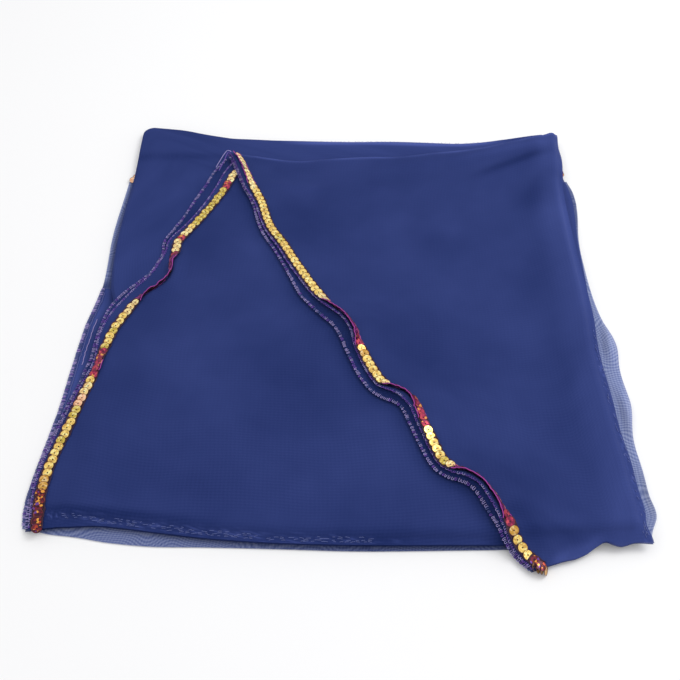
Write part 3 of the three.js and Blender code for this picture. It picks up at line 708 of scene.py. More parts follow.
# %% Sheer chiffon
def sheer_chiffon(name, alpha):
    mat, shader = principled(name, (0.2, 0.25, 0.45), 0.85, Alpha=alpha, Specular_IOR_Level=DULL)
    g = Graph(mat)
    arcs = g.math("MULTIPLY", g.wave("Y", spacing=2.1, bend=46, patch=24), 0.40)
    level = g.math("MULTIPLY_ADD", g.wave("X", spacing=1.9, bend=10), 0.20, arcs)
    level = g.math("MULTIPLY_ADD", g.noise(420, detail=1), 0.42, level)
    level = g.math("SUBTRACT", level, 0.1)
    close = g.mix(level, (0.004, 0.016, 0.11), (0.075, 0.10, 0.25))
    free = g.mix(level, (0.075, 0.115, 0.34), (0.44, 0.50, 0.74))
    g.links.new(g.mix(g.value("tint_and_painted_light"), close, free), shader.inputs["Base Color"])
    return mat


sheer_mat = sheer_chiffon("sheer_chiffon", 0.9)
print("sheer chiffon")

# %% [markdown]
# ## The bottom layer
#
# This single layer lies flat on the table and reaches out past the pile at the left, the front and
# the right. The right margin is free and lifts in small waves. The left margin is turned under
# itself in its front half, so it is as deep blue there as the pile. One grid between the left and
# the right outline makes the whole sheet, and the turned part only gets another material, because
# the height of so thin a fold doesn't show.

# %% Bottom layer
BOTTOM_ROWS = 150
BOTTOM_COLUMNS = 190
FINE_COLUMNS = 60      # these lie in the last tenth of the width, where the margin waves
FINE_FROM = 0.9
FRONT_ROWS = 0.04      # share of the depth in which the rows bend to the front edge's line
STRAIGHT_TO = -192
LEFT_TURN = dict(back=2, front=-194, inside=-100)   # where the left margin is turned under
WAVE = dict(height=3.0, length=62, phase=0.6, back=20, fade=30, margin=6, shy=4.3)


def bottom_points():
    """A flat sheet just above the table, with a wavy free margin at the right."""
    fine = np.linspace(FINE_FROM, 1, FINE_COLUMNS + 1)[1:]
    v = np.concatenate([np.linspace(0, FINE_FROM, BOTTOM_COLUMNS - FINE_COLUMNS), fine])
    s = np.linspace(0, 1, BOTTOM_ROWS)[:, None]
    body = 1 - FRONT_ROWS
    left, right = BOTTOM_LEFT["x"][0], RIGHT_SIDE["bottom"][0]
    front = where(FRONT_SIDE, "x", "bottom", lerp(left, right, v))[None, :]
    deep = lerp(BOTTOM_BACK, STRAIGHT_TO, np.clip(s / body, 0, 1))
    y = np.where(s <= body, deep, lerp(STRAIGHT_TO, front, (s - body) / FRONT_ROWS))
    x = lerp(where(BOTTOM_LEFT, "y", "x", y), where(RIGHT_SIDE, "y", "bottom", y), v[None, :])
    covered = np.maximum(where(RIGHT_SIDE, "y", "upper", y), where(RIGHT_SIDE, "y", "lower", y))
    free = smooth((x - covered - WAVE["shy"]) / WAVE["margin"])
    free = free * smooth((WAVE["back"] - y) / WAVE["fade"])
    lift = 0.5 + 0.5 * np.sin(y * 2 * np.pi / WAVE["length"] + WAVE["phase"])
    z = 0.65 + WAVE["height"] * free * lift
    return np.stack([x, y, z], axis=2)


bottom_grid = bottom_points()
print("the margin lifts up to", round(bottom_grid[:, :, 2].max(), 1), "mm off the table")

# %% [markdown]
# Its shade says how free it lies. The margin at the right and the edge at the back left are single
# over the table, so they look pale. In front, the strip before the pile is half pale. Where the left
# margin is turned under, the faces take the pile's material, with a pale band of light along them. A
# painted image could hold these shades. Values at the points need no image and follow the same
# tables as the form.

# %% Shades of the bottom layer
def bottom_tint(grid):
    """1 where the layer lies free over the table, 0 where other layers lie close behind it.

    The turned-under margin also gets a painted band of light.
    """
    x, y = grid[:, :, 0], grid[:, :, 1]
    # the free margin at the right, with more layers behind it towards the back
    right = smooth((past_core(x, y)[0] - 9) / 5) * smooth((y + 214) / 14)
    right = right * (1 - 0.65 * smooth((y - 40) / 40))
    # the single margin at the back left, palest along its edge
    behind_turn = smooth((y - LEFT_TURN["back"]) / 12)
    left = smooth((where(PILE_LEFT, "y", "x", y) - x - 1) / 5) * behind_turn
    inside = x - where(BOTTOM_LEFT, "y", "x", y)
    edge = np.exp(-(inside / 1.8) ** 2) * behind_turn
    # a painted band of light with streaks on the part of the left margin that is turned under
    before_turn = smooth((LEFT_TURN["back"] - y) / 4)
    band_light_streak = 0.75 + 0.25 * np.sin(y / 9 + 2 * np.sin(y / 31))
    band = 0.5 * band_light_streak * np.exp(-((inside - 5) / 4.5) ** 2) * before_turn
    # the strip that shows in front of the pile, paler to the left
    front = smooth((where(FRONT_SIDE, "x", "lower", x) - y + 6) / 6) * (x < 120)
    front = front * (0.2 + 0.36 * smooth((20 - x) / 160))
    return np.maximum.reduce([right, 0.3 * left + 0.6 * edge, band, front])


bottom = cloth("bottom_layer_cloth", bottom_grid, bottom_tint(bottom_grid), [sheer_mat, pile_mat],
               "bottom_layer")
corner_x, corner_y, _ = np.moveaxis(bottom_grid[:-1, :-1], 2, 0)
turned_under = (corner_y < LEFT_TURN["back"]) & (corner_y > LEFT_TURN["front"])
turned_under &= corner_x < LEFT_TURN["inside"]
bottom.data.polygons.foreach_set("material_index", turned_under.astype(int).ravel())

# %% [markdown]
# ## The hidden layers
#
# The pile is the same shawl folded over and over. Only its rims show, at the left and at the back,
# so one closed form is enough. It starts from a line round the pile with rounded corners. Stacking
# real layers would cost many faces that nobody sees.

# %% Outline of the pile
PILE_CORNER = 7        # how far each corner is rounded off
SIDE_POINTS = 90
SIDE_RINGS = 34
TOP_RINGS = 44


def pile_outline():
    """The core line round the pile, seen from above, with rounded corners."""
    cut = PILE_CORNER
    front_left = PILE_LEFT["x"][0]
    right_front = FRONT_SIDE["core"][-1]
    back_left = (PILE_BACK["x"][0], PILE_BACK["y"][0])
    back_right = (PILE_BACK["x"][-1], PILE_BACK["y"][-1])
    core_right = lambda y: where(RIGHT_SIDE, "y", "core", y)
    core_front = lambda x: where(FRONT_SIDE, "x", "core", x)
    sides = [
        (front_left + cut, core_right(right_front) - cut, lambda q: (q, core_front(q))),
        (right_front + cut, back_right[1] - cut, lambda q: (core_right(q), q)),
        (back_right[0] - cut, back_left[0] + cut, lambda q: (q, where(PILE_BACK, "x", "y", q))),
        (back_left[1] - cut, core_front(front_left) + cut,
         lambda q: (where(PILE_LEFT, "y", "x", q), q)),
    ]
    line = []
    for a, b, point in sides:
        q = np.linspace(float(a), float(b), SIDE_POINTS)
        line.append(np.stack(np.broadcast_arrays(*point(q)), axis=1))
    corners = []
    for side, following in zip(line, line[1:] + line[:1]):
        start, end = side[-1], following[0]
        heading, leaving = side[-1] - side[-2], following[1] - following[0]
        ahead = start + heading / np.linalg.norm(heading) * cut * 0.9
        back = end - leaving / np.linalg.norm(leaving) * cut * 0.9
        t = np.linspace(0, 1, 10)[1:-1, None]
        corners.append((1 - t) ** 3 * start + 3 * t * (1 - t) ** 2 * lerp(start, ahead, 0.6)
                       + 3 * t ** 2 * (1 - t) * lerp(end, back, 0.6) + t ** 3 * end)
    return np.concatenate([part for pair in zip(line, corners) for part in pair])


core_line = pile_outline()
print("the pile is", round(float(np.ptp(core_line[:, 0]))), "mm wide at its core")

# %% [markdown]
# From that line, rings of points climb the side, with a bulge for each hidden layer, and close over
# the top. The bulges wander a little round the pile, as folds do. The strip of its top that shows
# behind the turned fold is palest at the back edge, where few layers lie.

# %% Pile
BULGE = 0.9            # how far the folds stand out from the dents between them
WANDER = 0.5


def pile_points(line):
    """Rings up the bulging side and then inward over the top."""
    count = len(line)
    k = np.arange(count)
    turned = np.roll(line, -3, axis=0) - np.roll(line, 3, axis=0)
    turned /= np.linalg.norm(turned, axis=1)[:, None]
    outward = np.stack([turned[:, 1], -turned[:, 0]], axis=1)
    rings = []
    for z in np.linspace(0.05, PILE_TOP - 0.1, SIDE_RINGS):
        part = (z - PILE_BOTTOM) / HIDDEN_HEIGHT
        layer = np.clip(np.floor(part), 0, HIDDEN_LAYERS - 1)
        bulge = np.abs(np.sin(np.pi * np.clip(part, 0, HIDDEN_LAYERS))) ** 0.6
        wander = WANDER * np.sin(2 * np.pi * k / count * (7 + 3 * layer) + 2.1 * layer)
        out = math.sqrt(max(PILE_RADIUS ** 2 - max(0, z - PILE_BOTTOM - 0.2) ** 2, 0.01))
        spread = out - 2 - BULGE * (1 - bulge) + wander
        rings.append(np.concatenate([line + outward * spread[:, None],
                                     np.full((count, 1), z)], axis=1))
    hub = np.array([0.0, -10.0])
    for share in np.linspace(0.995, 0.04, TOP_RINGS):
        q = hub + (line - hub) * share
        z = PILE_TOP - 0.05 + swell(q[:, 0], q[:, 1]) * smooth((1 - share) / 0.05)
        rings.append(np.concatenate([q, z[:, None]], axis=1))
    grid = np.stack(rings)
    return np.concatenate([grid, grid[:, :1]], axis=1)


def pile_tint(grid):
    """Pale along the back edge, where few layers lie, and deep in the shadow of the turned fold."""
    x, y = grid[:, :, 0], grid[:, :, 1]
    to_back = where(PILE_BACK, "x", "y", x) - y
    behind_fold = y - where(FOLD_LINE, "x", "y", x)
    pale = 0.12 * smooth((x + 130) / 60)
    middle = smooth((x + 60) / 50) * smooth((150 - x) / 40)
    pale = pale + 0.8 * middle * np.exp(-((to_back - 0.9) / 2.2) ** 2)
    return pale * smooth((45 - to_back) / 20) - 0.15 * np.exp(-((behind_fold - 2) / 5) ** 2)


pile_grid = pile_points(core_line)
cloth("hidden_layers_cloth", pile_grid, pile_tint(pile_grid), pile_mat, "hidden_layers")

# %% [markdown]
# ## The two loose stretches
#
# Each stretch is two layers of the doubled shawl. The lower pair goes down first. The upper pair
# starts as the same cloth turned over at the back fold, so its first rows run round that fold.

# %% Points of the lower stretch
SEAM = 1.3             # the lower stretch stops this short of the turned fold
SEAM_FADE = 20
lower_under_grid, _ = layer_grid(LOWER, 0, own_edge=False, crest_share=UNDER_CREST)
lower_top_grid, lower_stations = layer_grid(LOWER, 1, own_edge=True, crest_share=1)
by_seam = 1 - smooth(lower_stations["length"] / SEAM_FADE)
for grid in (lower_under_grid, lower_top_grid):
    grid[:, :, 1] -= SEAM * by_seam[:, None]
print("lower stretch", lower_top_grid.shape[0], "rows")

# %% [markdown]
# ## Shades of the loose layers
#
# The cloth is paler towards the right side, partly because fewer layers lie behind it and partly
# as painted sheen, and deeper over the front rim and beside a hem as painted shade. Where a folded
# rim frays, it catches the light in short pale dashes, which are painted highlights. These are the
# first random values of the scene, and one seeded generator draws all of them.

# %% Shades
rng = np.random.default_rng(7)


def away_from(line, grid):
    """The distance of each point of a grid from a line of points, seen from above."""
    flat = grid.reshape(-1, 1, 3)[:, :, :2] - line[None, :, :2]
    return np.linalg.norm(flat, axis=2).min(axis=1).reshape(grid.shape[:2])


# paler towards the right side (fewer layers, and painted sheen); painted shade over the front rim
def rim_sheen_and_shade(grid, reach, dark_front):
    right, front = past_core(grid[:, :, 0], grid[:, :, 1])
    return 0.2 * smooth((right + reach) / reach) - dark_front * smooth((front + 3) / 8)


def frayed_light(out, at, width, most):
    """Short pale dashes along a rim, where the folded edge catches the light."""
    dash = np.clip(rng.uniform(-2.6, 1, out.shape), 0, 1) * most
    return dash * np.exp(-((out - at) / width) ** 2)


def hem_shadow(grid, deep):
    """Painted shade that makes the cloth beside the trim deeper than the rest."""
    columns = np.arange(grid.shape[1])
    return deep * (1 - smooth((columns - 9) / 5))[None, :]


print("generator seeded")

# %% [markdown]
# The lower pair lies on the pile. The upper stretch throws a soft shadow on it along its hem, so the
# cloth is deeper there.

# %% Lower stretch
upper_hem_line = layer_grid(UPPER, 2, own_edge=False, crest_share=0)[0][:, 0]
lower_x, lower_y = lower_top_grid[:, :, 0], lower_top_grid[:, :, 1]
lower_front = past_core(lower_x, lower_y)[1]
lower_light = frayed_light(lower_front, at=6.5, width=2.4, most=0.7)
# all painted: rim sheen and shade, frayed-rim highlights, crease streaks and the upper stretch's
# shadow
lower_painted_light_and_tint = 0.04 + rim_sheen_and_shade(lower_top_grid, reach=14, dark_front=0.10)
lower_painted_light_and_tint = lower_painted_light_and_tint + lower_light * (1 - smooth(lower_x / 60))
lower_painted_light_and_tint = lower_painted_light_and_tint + soft_lines(LOWER_LIGHT_AND_SHADE_STREAKS, lower_x, lower_y)
lower_painted_light_and_tint = lower_painted_light_and_tint - 0.16 * np.exp(-(away_from(upper_hem_line, lower_top_grid) / 7) ** 2)
# painted rim sheen and shade, and painted shade beside the hem
lower_under_painted_light_and_tint = rim_sheen_and_shade(lower_under_grid, reach=14, dark_front=0.10)
lower_under_painted_light_and_tint = lower_under_painted_light_and_tint + hem_shadow(lower_under_grid, -0.12)
cloth("lower_under_cloth", lower_under_grid, lower_under_painted_light_and_tint, chiffon_mat, "lower_stretch_under")
cloth("lower_top_cloth", lower_top_grid, lower_painted_light_and_tint, chiffon_mat, "lower_stretch_top")

# %% [markdown]
# The upper pair is the same cloth turned over at the back fold. Its first rows run round that fold
# in a half circle, the under layer inside the top layer. Only one layer bends over there, and a
# painted highlight runs along the fold, so it is paler than the rest, and unevenly so along its
# length.

# %% Upper stretch with its turned fold
TURN_STEPS = 14
# painted highlight on the turned fold
FOLD_HIGHLIGHT = 0.55      # how much paler the turned fold looks


def with_fold(grid, layer):
    """The rows of a layer with a half circle of rows before them, down to the layer below."""
    radius = (layer - 1.5) * PITCH
    first = grid[0]
    line = np.gradient(first[:, :2], axis=0)
    line /= np.linalg.norm(line, axis=1)[:, None]
    centre = first - np.array([0, 0, radius])
    rows = []
    for turn in np.linspace(math.pi, 0, TURN_STEPS + 1)[:-1]:
        facing = np.stack([-line[:, 1] * math.sin(turn), line[:, 0] * math.sin(turn),
                           np.full(len(line), math.cos(turn))], axis=1)
        rows.append(centre + facing * radius)
    return np.concatenate([np.stack(rows), grid])


def upper_painted_light_and_tint(grid):
    """Mostly painted light and shade of an upper layer, with its turned fold's painted highlight
    first.
    """
    x, y = grid[:, :, 0], grid[:, :, 1]
    tint_and_painted_light = 0.05 + rim_sheen_and_shade(grid, reach=22, dark_front=0.06) + soft_lines(UPPER_LIGHT_AND_SHADE_STREAKS, x, y)
    # the front edge hangs free, so it is paler, and most of all beside the tip
    tint_and_painted_light = tint_and_painted_light + 0.18 * np.exp(-((y - UPPER_FRONT["y"][2]) / 9) ** 2)
    from_edge = y - where(UPPER_FRONT, "x", "y", x)
    by_tip = smooth((x - 120) / 8) * smooth((160 - x) / 16)
    tint_and_painted_light = tint_and_painted_light + 0.3 * by_tip * np.exp(-((from_edge - 2) / 3.5) ** 2)
    # frayed light along the front half of the right rim
    light = frayed_light(past_core(x, y)[0], at=8.5, width=1.5, most=0.6)
    tint_and_painted_light = tint_and_painted_light + light * smooth((-50 - y) / 20)
    # the painted highlight of the turned fold, and how it fades out on the rows behind it
    fold_highlight = FOLD_HIGHLIGHT * (0.62 + 0.26 * np.sin(x[0] / 13) + 0.12 * np.sin(x[0] / 5 + 1))
    turned = smooth(np.linspace(0, 1.6, TURN_STEPS))[:, None] * fold_highlight
    fading = np.exp(-(upper_stations["length"] / 1.8) ** 2)[:, None] * fold_highlight
    return np.concatenate([turned, tint_and_painted_light + fading])


upper_under_grid, _ = layer_grid(UPPER, 2, own_edge=False, crest_share=UNDER_CREST)
upper_top_grid, upper_stations = layer_grid(UPPER, 3, own_edge=True, crest_share=1)
# the under layer also gets painted shade beside its hem
upper_under_painted_light_and_tint = upper_painted_light_and_tint(upper_under_grid) + hem_shadow(upper_under_grid, -0.2)
cloth("upper_under_cloth", with_fold(upper_under_grid, 2), upper_under_painted_light_and_tint, chiffon_mat,
      "upper_stretch_under")
cloth("upper_top_cloth", with_fold(upper_top_grid, 3), upper_painted_light_and_tint(upper_top_grid), chiffon_mat,
      "upper_stretch_top")

# %% [markdown]
# ## The sequin trim
#
# The trim is a ready-made string: flat round sequins, each overlapping the next, stitched through
# their holes to a narrow braid. Most are gold. Where the holographic foil tilts it turns olive, pink
# or red along the way, and these colours are painted reflections.
# We place one sequin after another along the edge. Where the trim rolls over, the sequins stand
# almost on edge and mostly the magenta thread at the crest shows. An array along a curve could
# repeat one disc, but it couldn't roll the trim over or change its colours on the way.

# %% Frames along the trim
SEQUIN_PITCH = 4.8
ROLL_ANGLE = math.radians(62)
TRIM_LIFT = 0.6        # the middle of the trim lies this high above the cloth
ROLL_LIFT = 0.9        # and this much higher where it is rolled over
LOWEST_TRIM = 1.2      # it never comes closer to the table


def trim_frames(stretch, grid, st, start, spacing, overhang=0.0):
    """Places along the trim with the directions along, across and up from it."""
    side = stretch["side"]
    s = np.arange(start, st["total"] + overhang, spacing)
    at = lambda values: np.interp(s, st["length"], values)
    x, y, roll = at(st["x"]), at(st["y"]), at(st["roll"])
    inward = np.stack([at(st["inward"][:, 0]), at(st["inward"][:, 1])], axis=1)
    near = grid[:, :NEAR_COLUMNS]
    column = np.argmin(np.abs(near[:, :, 0] - st["x"][:, None])
                       + np.abs(near[:, :, 1] - st["y"][:, None]), axis=1)
    surface = grid[np.arange(len(column)), column, 2]
    z = at(surface) + TRIM_LIFT + ROLL_LIFT * roll
    centre = np.stack([x, y, z], axis=1)
    past = np.clip(s - st["total"], 0, None)[:, None]
    heading = np.array([st["x"][-1] - st["x"][-6], st["y"][-1] - st["y"][-6], 0.0])
    centre = centre + past * (heading / np.linalg.norm(heading) + np.array([0, 0, -0.15]))
    centre[:, 2] = np.maximum(centre[:, 2], LOWEST_TRIM)
    along = np.gradient(centre, axis=0)
    along /= np.linalg.norm(along, axis=1)[:, None]
    angle = ROLL_ANGLE * smooth(roll) * side
    flat_in = np.concatenate([inward, np.zeros((len(s), 1))], axis=1)
    across = flat_in * np.cos(angle)[:, None]
    across[:, 2] -= np.sin(angle)
    across -= along * (across * along).sum(1)[:, None]
    across /= np.linalg.norm(across, axis=1)[:, None]
    up = np.cross(across, along)
    up *= np.sign(up[:, 2:3] + 1e-9)
    return dict(s=s, centre=centre, along=along, across=across, up=up, roll=roll)


def length_at_y(st, y):
    return float(np.interp(-y, -st["y"], st["length"]))


lower_start = length_at_y(lower_stations, 124)
lower_frames = trim_frames(LOWER, lower_top_grid, lower_stations, lower_start, SEQUIN_PITCH,
                           overhang=1)
upper_frames = trim_frames(UPPER, upper_top_grid, upper_stations, 5, SEQUIN_PITCH)
print(len(lower_frames["s"]), "and", len(upper_frames["s"]), "sequins")

# %% [markdown]
# The foil's colour changes along the string, as painted reflections of the holographic foil. Each
# row of these tables names the colour that starts at that depth y and runs on towards the front.

# %% Foil colours
TONES = {
    "gold": (0.88, 0.60, 0.15), "pale": (0.95, 0.69, 0.29), "olive": (0.62, 0.46, 0.07),
    "pink": (0.88, 0.48, 0.27), "red": (0.42, 0.03, 0.08), "magenta": (0.32, 0.025, 0.20),
    "maroon": (0.16, 0.012, 0.03), "deep_gold": (0.60, 0.32, 0.05), "rim": (0.16, 0.04, 0.03),
}
# painted reflections: where each colour of the holographic foil shows along the trim
LOWER_REFLECTION_ZONES = [
    (124, "pale"), (111, "red"), (105, "olive"), (62, "gold"), (56, "pale"), (49, "red"),
    (44, "pale"), (31, "red"), (22, "magenta"), (-22, "pale"), (-34, "gold"), (-46, "olive"),
    (-53, "gold"), (-60, "olive"), (-66, "red"), (-87, "gold"), (-94, "pale"), (-104, "pink"),
    (-113, "olive"), (-123, "gold"), (-134, "olive"), (-141, "gold"), (-165, "deep_gold"),
    (-173, "maroon"),
]
UPPER_REFLECTION_ZONES = [
    (150, "pink"), (141, "pale"), (100, "gold"), (46, "olive"), (38, "gold"), (-20, "pale"),
    (-24, "magenta"), (-57, "red"), (-68, "deep_gold"), (-76, "gold"), (-96, "pale"),
    (-99, "magenta"), (-106, "red"), (-135, "gold"), (-155, "olive"), (-160, "pale"),
    (-163, "magenta"), (-192, "red"), (-202, "deep_gold"), (-208, "gold"), (-218, "maroon"),
]


def tone_at(zones, y):
    name = zones[0][1]
    for start, tone in zones:
        if y <= start:
            name = tone
    return name


tone_names = list(TONES)
foils = {n: principled("sequin_" + n, TONES[n], 0.3, Metallic=0.5) for n in tone_names}
print(len(foils), "foil colours")

# %% [markdown]
# The foil isn't one flat colour. It wrinkles as it is pressed, so each disc shows paler and deeper
# flecks about a millimetre wide, partly the wrinkled foil and partly painted glints and shade.
# Small Voronoi cells, each with its own random shade, give them.
# The dark red discs catch the light most unevenly, with orange, yellow and violet flecks.

# %% Flecks in the foil
def add_flecks_and_glints(mat, shader, cell, stops):
    """Cells of about that size in millimetres, coloured by stops of (position, colour)."""
    g = Graph(mat)
    cells = g.nodes.new("ShaderNodeTexVoronoi")
    cells.inputs["Scale"].default_value = 1 / (cell * MM)
    g.links.new(g.coords.outputs["Object"], cells.inputs["Vector"])
    split = g.nodes.new("ShaderNodeSeparateColor")
    g.links.new(cells.outputs["Color"], split.inputs["Color"])
    ramp = g.nodes.new("ShaderNodeValToRGB")
    ramp.color_ramp.interpolation = "CONSTANT"
    while len(ramp.color_ramp.elements) < len(stops):
        ramp.color_ramp.elements.new(1.0)
    for element, (position, color) in zip(ramp.color_ramp.elements, stops):
        element.position = position
        element.color = (*color, 1)
    g.links.new(split.outputs["Red"], ramp.inputs["Fac"])
    g.links.new(ramp.outputs["Color"], shader.inputs["Base Color"])


# the palest stops are painted glints and the deepest painted shade
for tone in ("gold", "pale", "olive", "pink", "deep_gold"):
    body = np.array(TONES[tone])
    add_flecks_and_glints(*foils[tone], cell=1.15, stops=[
        (0, body * (0.74, 0.66, 0.62)), (0.2, body), (0.62, np.minimum(1, body * 1.12 + 0.08)),
        (0.84, np.minimum(1, body * 1.15 + (0.12, 0.22, 0.22))),
    ])
add_flecks_and_glints(*foils["maroon"], cell=1.5, stops=[
    (0, (0.06, 0.006, 0.02)), (0.45, (0.17, 0.012, 0.03)), (0.70, (0.40, 0.05, 0.02)),
    (0.84, (0.80, 0.36, 0.05)), (0.94, (0.14, 0.05, 0.32)),
])
add_flecks_and_glints(*foils["red"], cell=1.7, stops=[
    (0, (0.20, 0.012, 0.06)), (0.4, (0.42, 0.03, 0.09)), (0.74, (0.60, 0.07, 0.10)),
    (0.9, (0.80, 0.34, 0.08)),
])
add_flecks_and_glints(*foils["magenta"], cell=1.4, stops=[
    (0, (0.20, 0.014, 0.12)), (0.4, (0.36, 0.03, 0.22)), (0.75, (0.52, 0.08, 0.30)),
])
print("flecks in", len(foils) - 1, "foils")

# %% [markdown]
# A sequin is a thin disc with a hole, a slight cup and a raised edge that looks dark. Each one leans
# on the next, a little unevenly, and every second one is shifted sideways. All the discs of a trim
# are joined to one mesh, since hundreds of small objects would be slow and no easier to use.

# %% Sequins
SEQUIN_SIDES = 16
SEQUIN_RADII = [0.5, 1.35, 2.92, 3.15]   # the hole, the cup, the dark edge line and the outside
SEQUIN_RISE = [0.0, 0.02, 0.10, 0.30]
RIM_RING = 2                             # from this ring outward the dark edge shows
SEQUIN_THICKNESS = 0.18
SEQUIN_LIFT = 0.5                        # above the middle of the trim
SEQUIN_LEAN = dict(on_next=7, spread=4, sideways=7)   # in degrees


def sequin_piece(name, frames, zones, node=None, sway=0.1):
    """All sequins of one trim as a joined mesh of thin discs with a hole."""
    sides = SEQUIN_SIDES
    ring_count = len(SEQUIN_RADII)
    rings = list(range(ring_count)) + list(range(2 * ring_count - 1, ring_count - 1, -1))
    angle = np.arange(sides) / sides * 2 * np.pi
    points, faces, tones = [], [], []
    for k in range(len(frames["s"])):
        along, across, up = (frames[c][k] for c in ("along", "across", "up"))
        spread = SEQUIN_LEAN["spread"] * rng.uniform(-1, 1)
        tilt = math.radians(SEQUIN_LEAN["on_next"] + spread)
        lean = math.radians(SEQUIN_LEAN["sideways"] * rng.uniform(-1, 1))
        up_t = up * math.cos(tilt) + along * math.sin(tilt)
        along_t = along * math.cos(tilt) - up * math.sin(tilt)
        across_t = across * math.cos(lean) + up_t * math.sin(lean)
        up_t = np.cross(across_t, along_t)
        up_t *= np.sign(np.dot(up_t, up))
        centre = frames["centre"][k] + across * sway * (-1) ** k + up * SEQUIN_LIFT
        around = np.cos(angle)[:, None] * across_t + np.sin(angle)[:, None] * along_t
        base = len(points) * sides
        for thickness in (0.0, -SEQUIN_THICKNESS):
            for r, h in zip(SEQUIN_RADII, SEQUIN_RISE):
                points.append(centre + r * around + (h + thickness) * up_t)
        tone = tone_names.index(tone_at(zones, frames["centre"][k][1]))
        for a, b in zip(rings, rings[1:] + rings[:1]):
            for i in range(sides):
                j = (i + 1) % sides
                faces.append((base + a * sides + i, base + b * sides + i,
                              base + b * sides + j, base + a * sides + j))
                tones.append(tone if a < RIM_RING else tone_names.index("rim"))
    obj = mesh_piece(name, np.concatenate(points), faces, [foils[n][0] for n in tone_names],
                     smooth_faces=False)
    obj.data.polygons.foreach_set("material_index", tones)
    print(name, len(frames["s"]), "discs,", len(faces), "faces")
    return place(obj, node)


sequin_piece("lower_sequins", lower_frames, LOWER_REFLECTION_ZONES, "lower_sequin_trim", sway=0.35)
sequin_piece("upper_sequins", upper_frames, UPPER_REFLECTION_ZONES, "upper_sequin_trim")

# %% [markdown]
# Further turns of the same trim peep out from under the pile at both back corners, and at the tip
# the last discs turn on edge, one behind the other like coins.

# %% Trim ends
def loose_discs(name, spots, heading, up, tone):
    """A few discs at the given places, in a row along the heading, that face the up direction."""
    count = len(spots)
    turn = math.radians(heading)
    up = np.array(up) / np.linalg.norm(up)
    along = np.array([math.cos(turn), math.sin(turn), 0.0])
    along = along - up * np.dot(along, up)
    along /= np.linalg.norm(along)
    rows = dict(s=np.arange(count), centre=np.array(spots, float))
    for word, direction in (("along", along), ("across", np.cross(up, along)), ("up", up)):
        rows[word] = np.tile(direction, (count, 1))
    return sequin_piece(name, rows, [(1000, tone)])


loose_discs("trim_end_left", [(-172, 129, 1.6), (-174, 124.5, 1.7)],
            heading=250, up=(0, 0, 1), tone="pink")
loose_discs("trim_end_right", [(186.6, 135, 1.6), (186.9, 131.8, 1.7)],
            heading=268, up=(0, 0, 1), tone="red")
loose_discs("trim_end_tip", [
    (112, -222.8, 3.4), (114, -224, 3.4), (116.1, -224.8, 3.3), (118.2, -225.3, 3.2),
], heading=60, up=(0.8, -0.42, 0.42), tone="deep_gold")

# %% [markdown]
# ## Threads
#
# A narrow dark braid lies under the sequins. Along both of its sides runs the thread that holds it,
# and the raw edges of the chiffon are overlocked: short loops of lilac thread that reach over the
# edge every few millimetres. Curves with a round bevel would make threads too. Tubes as meshes let
# all the loops of a hem join into one piece.

# %% Thread materials and helper
braid_mat, _ = principled("braid", (0.035, 0.008, 0.03), 0.7)
magenta_mat, _ = principled("magenta_thread", (0.36, 0.035, 0.32), 0.55)
purple_mat, _ = principled("purple_thread", (0.16, 0.065, 0.42), 0.6)
lilac_mat, _ = principled("lilac_thread", (0.36, 0.30, 0.62), 0.6)
blue_mat, _ = principled("blue_thread", (0.09, 0.11, 0.32), 0.6)
THREADS = {"lilac": lilac_mat, "purple": purple_mat, "blue": blue_mat}


def tubes(name, lines, radius, material, sides=5):
    """Thin tubes along short lines of points, joined to one mesh."""
    points, faces = [], []
    count = 0
    for line in lines:
        line = np.asarray(line, float)
        along = np.gradient(line, axis=0)
        along /= np.linalg.norm(along, axis=1)[:, None] + 1e-9
        guess = np.array([0.0, 0.0, 1.0])
        sideways = np.cross(along, guess)
        sideways /= np.linalg.norm(sideways, axis=1)[:, None] + 1e-9
        lift = np.cross(sideways, along)
        angle = np.arange(sides) / sides * 2 * np.pi
        ring = (line[:, None] + radius * (np.cos(angle)[None, :, None] * sideways[:, None]
                                          + np.sin(angle)[None, :, None] * lift[:, None]))
        points.append(ring.reshape(-1, 3))
        n = len(line)
        for j in range(n - 1):
            for i in range(sides):
                k = (i + 1) % sides
                faces.append((count + j * sides + i, count + j * sides + k,
                              count + (j + 1) * sides + k, count + (j + 1) * sides + i))
        faces.append(tuple(count + i for i in range(sides)))
        faces.append(tuple(count + (n - 1) * sides + i for i in reversed(range(sides))))
        count += n * sides
    obj = mesh_piece(name, np.concatenate(points), faces, material)
    return place(obj)


print("hem threads:", ", ".join(THREADS))

# %% [markdown]
# The braid is a strip of four points across. Where the trim lies flat, its side threads are as dark
# as the braid. Where it rolls over, the bright magenta ones of its back come up.

# %% Braid and its side threads
BRAID_ROWS = 1.6       # the braid's rows lie this far apart
BRAID_ACROSS = [-3.5, -1.5, 1.5, 3.5]
BRAID_LIFT = 0.12
SIDE_THREAD = dict(out=3.4, radius=0.32, rolled_from=0.45)


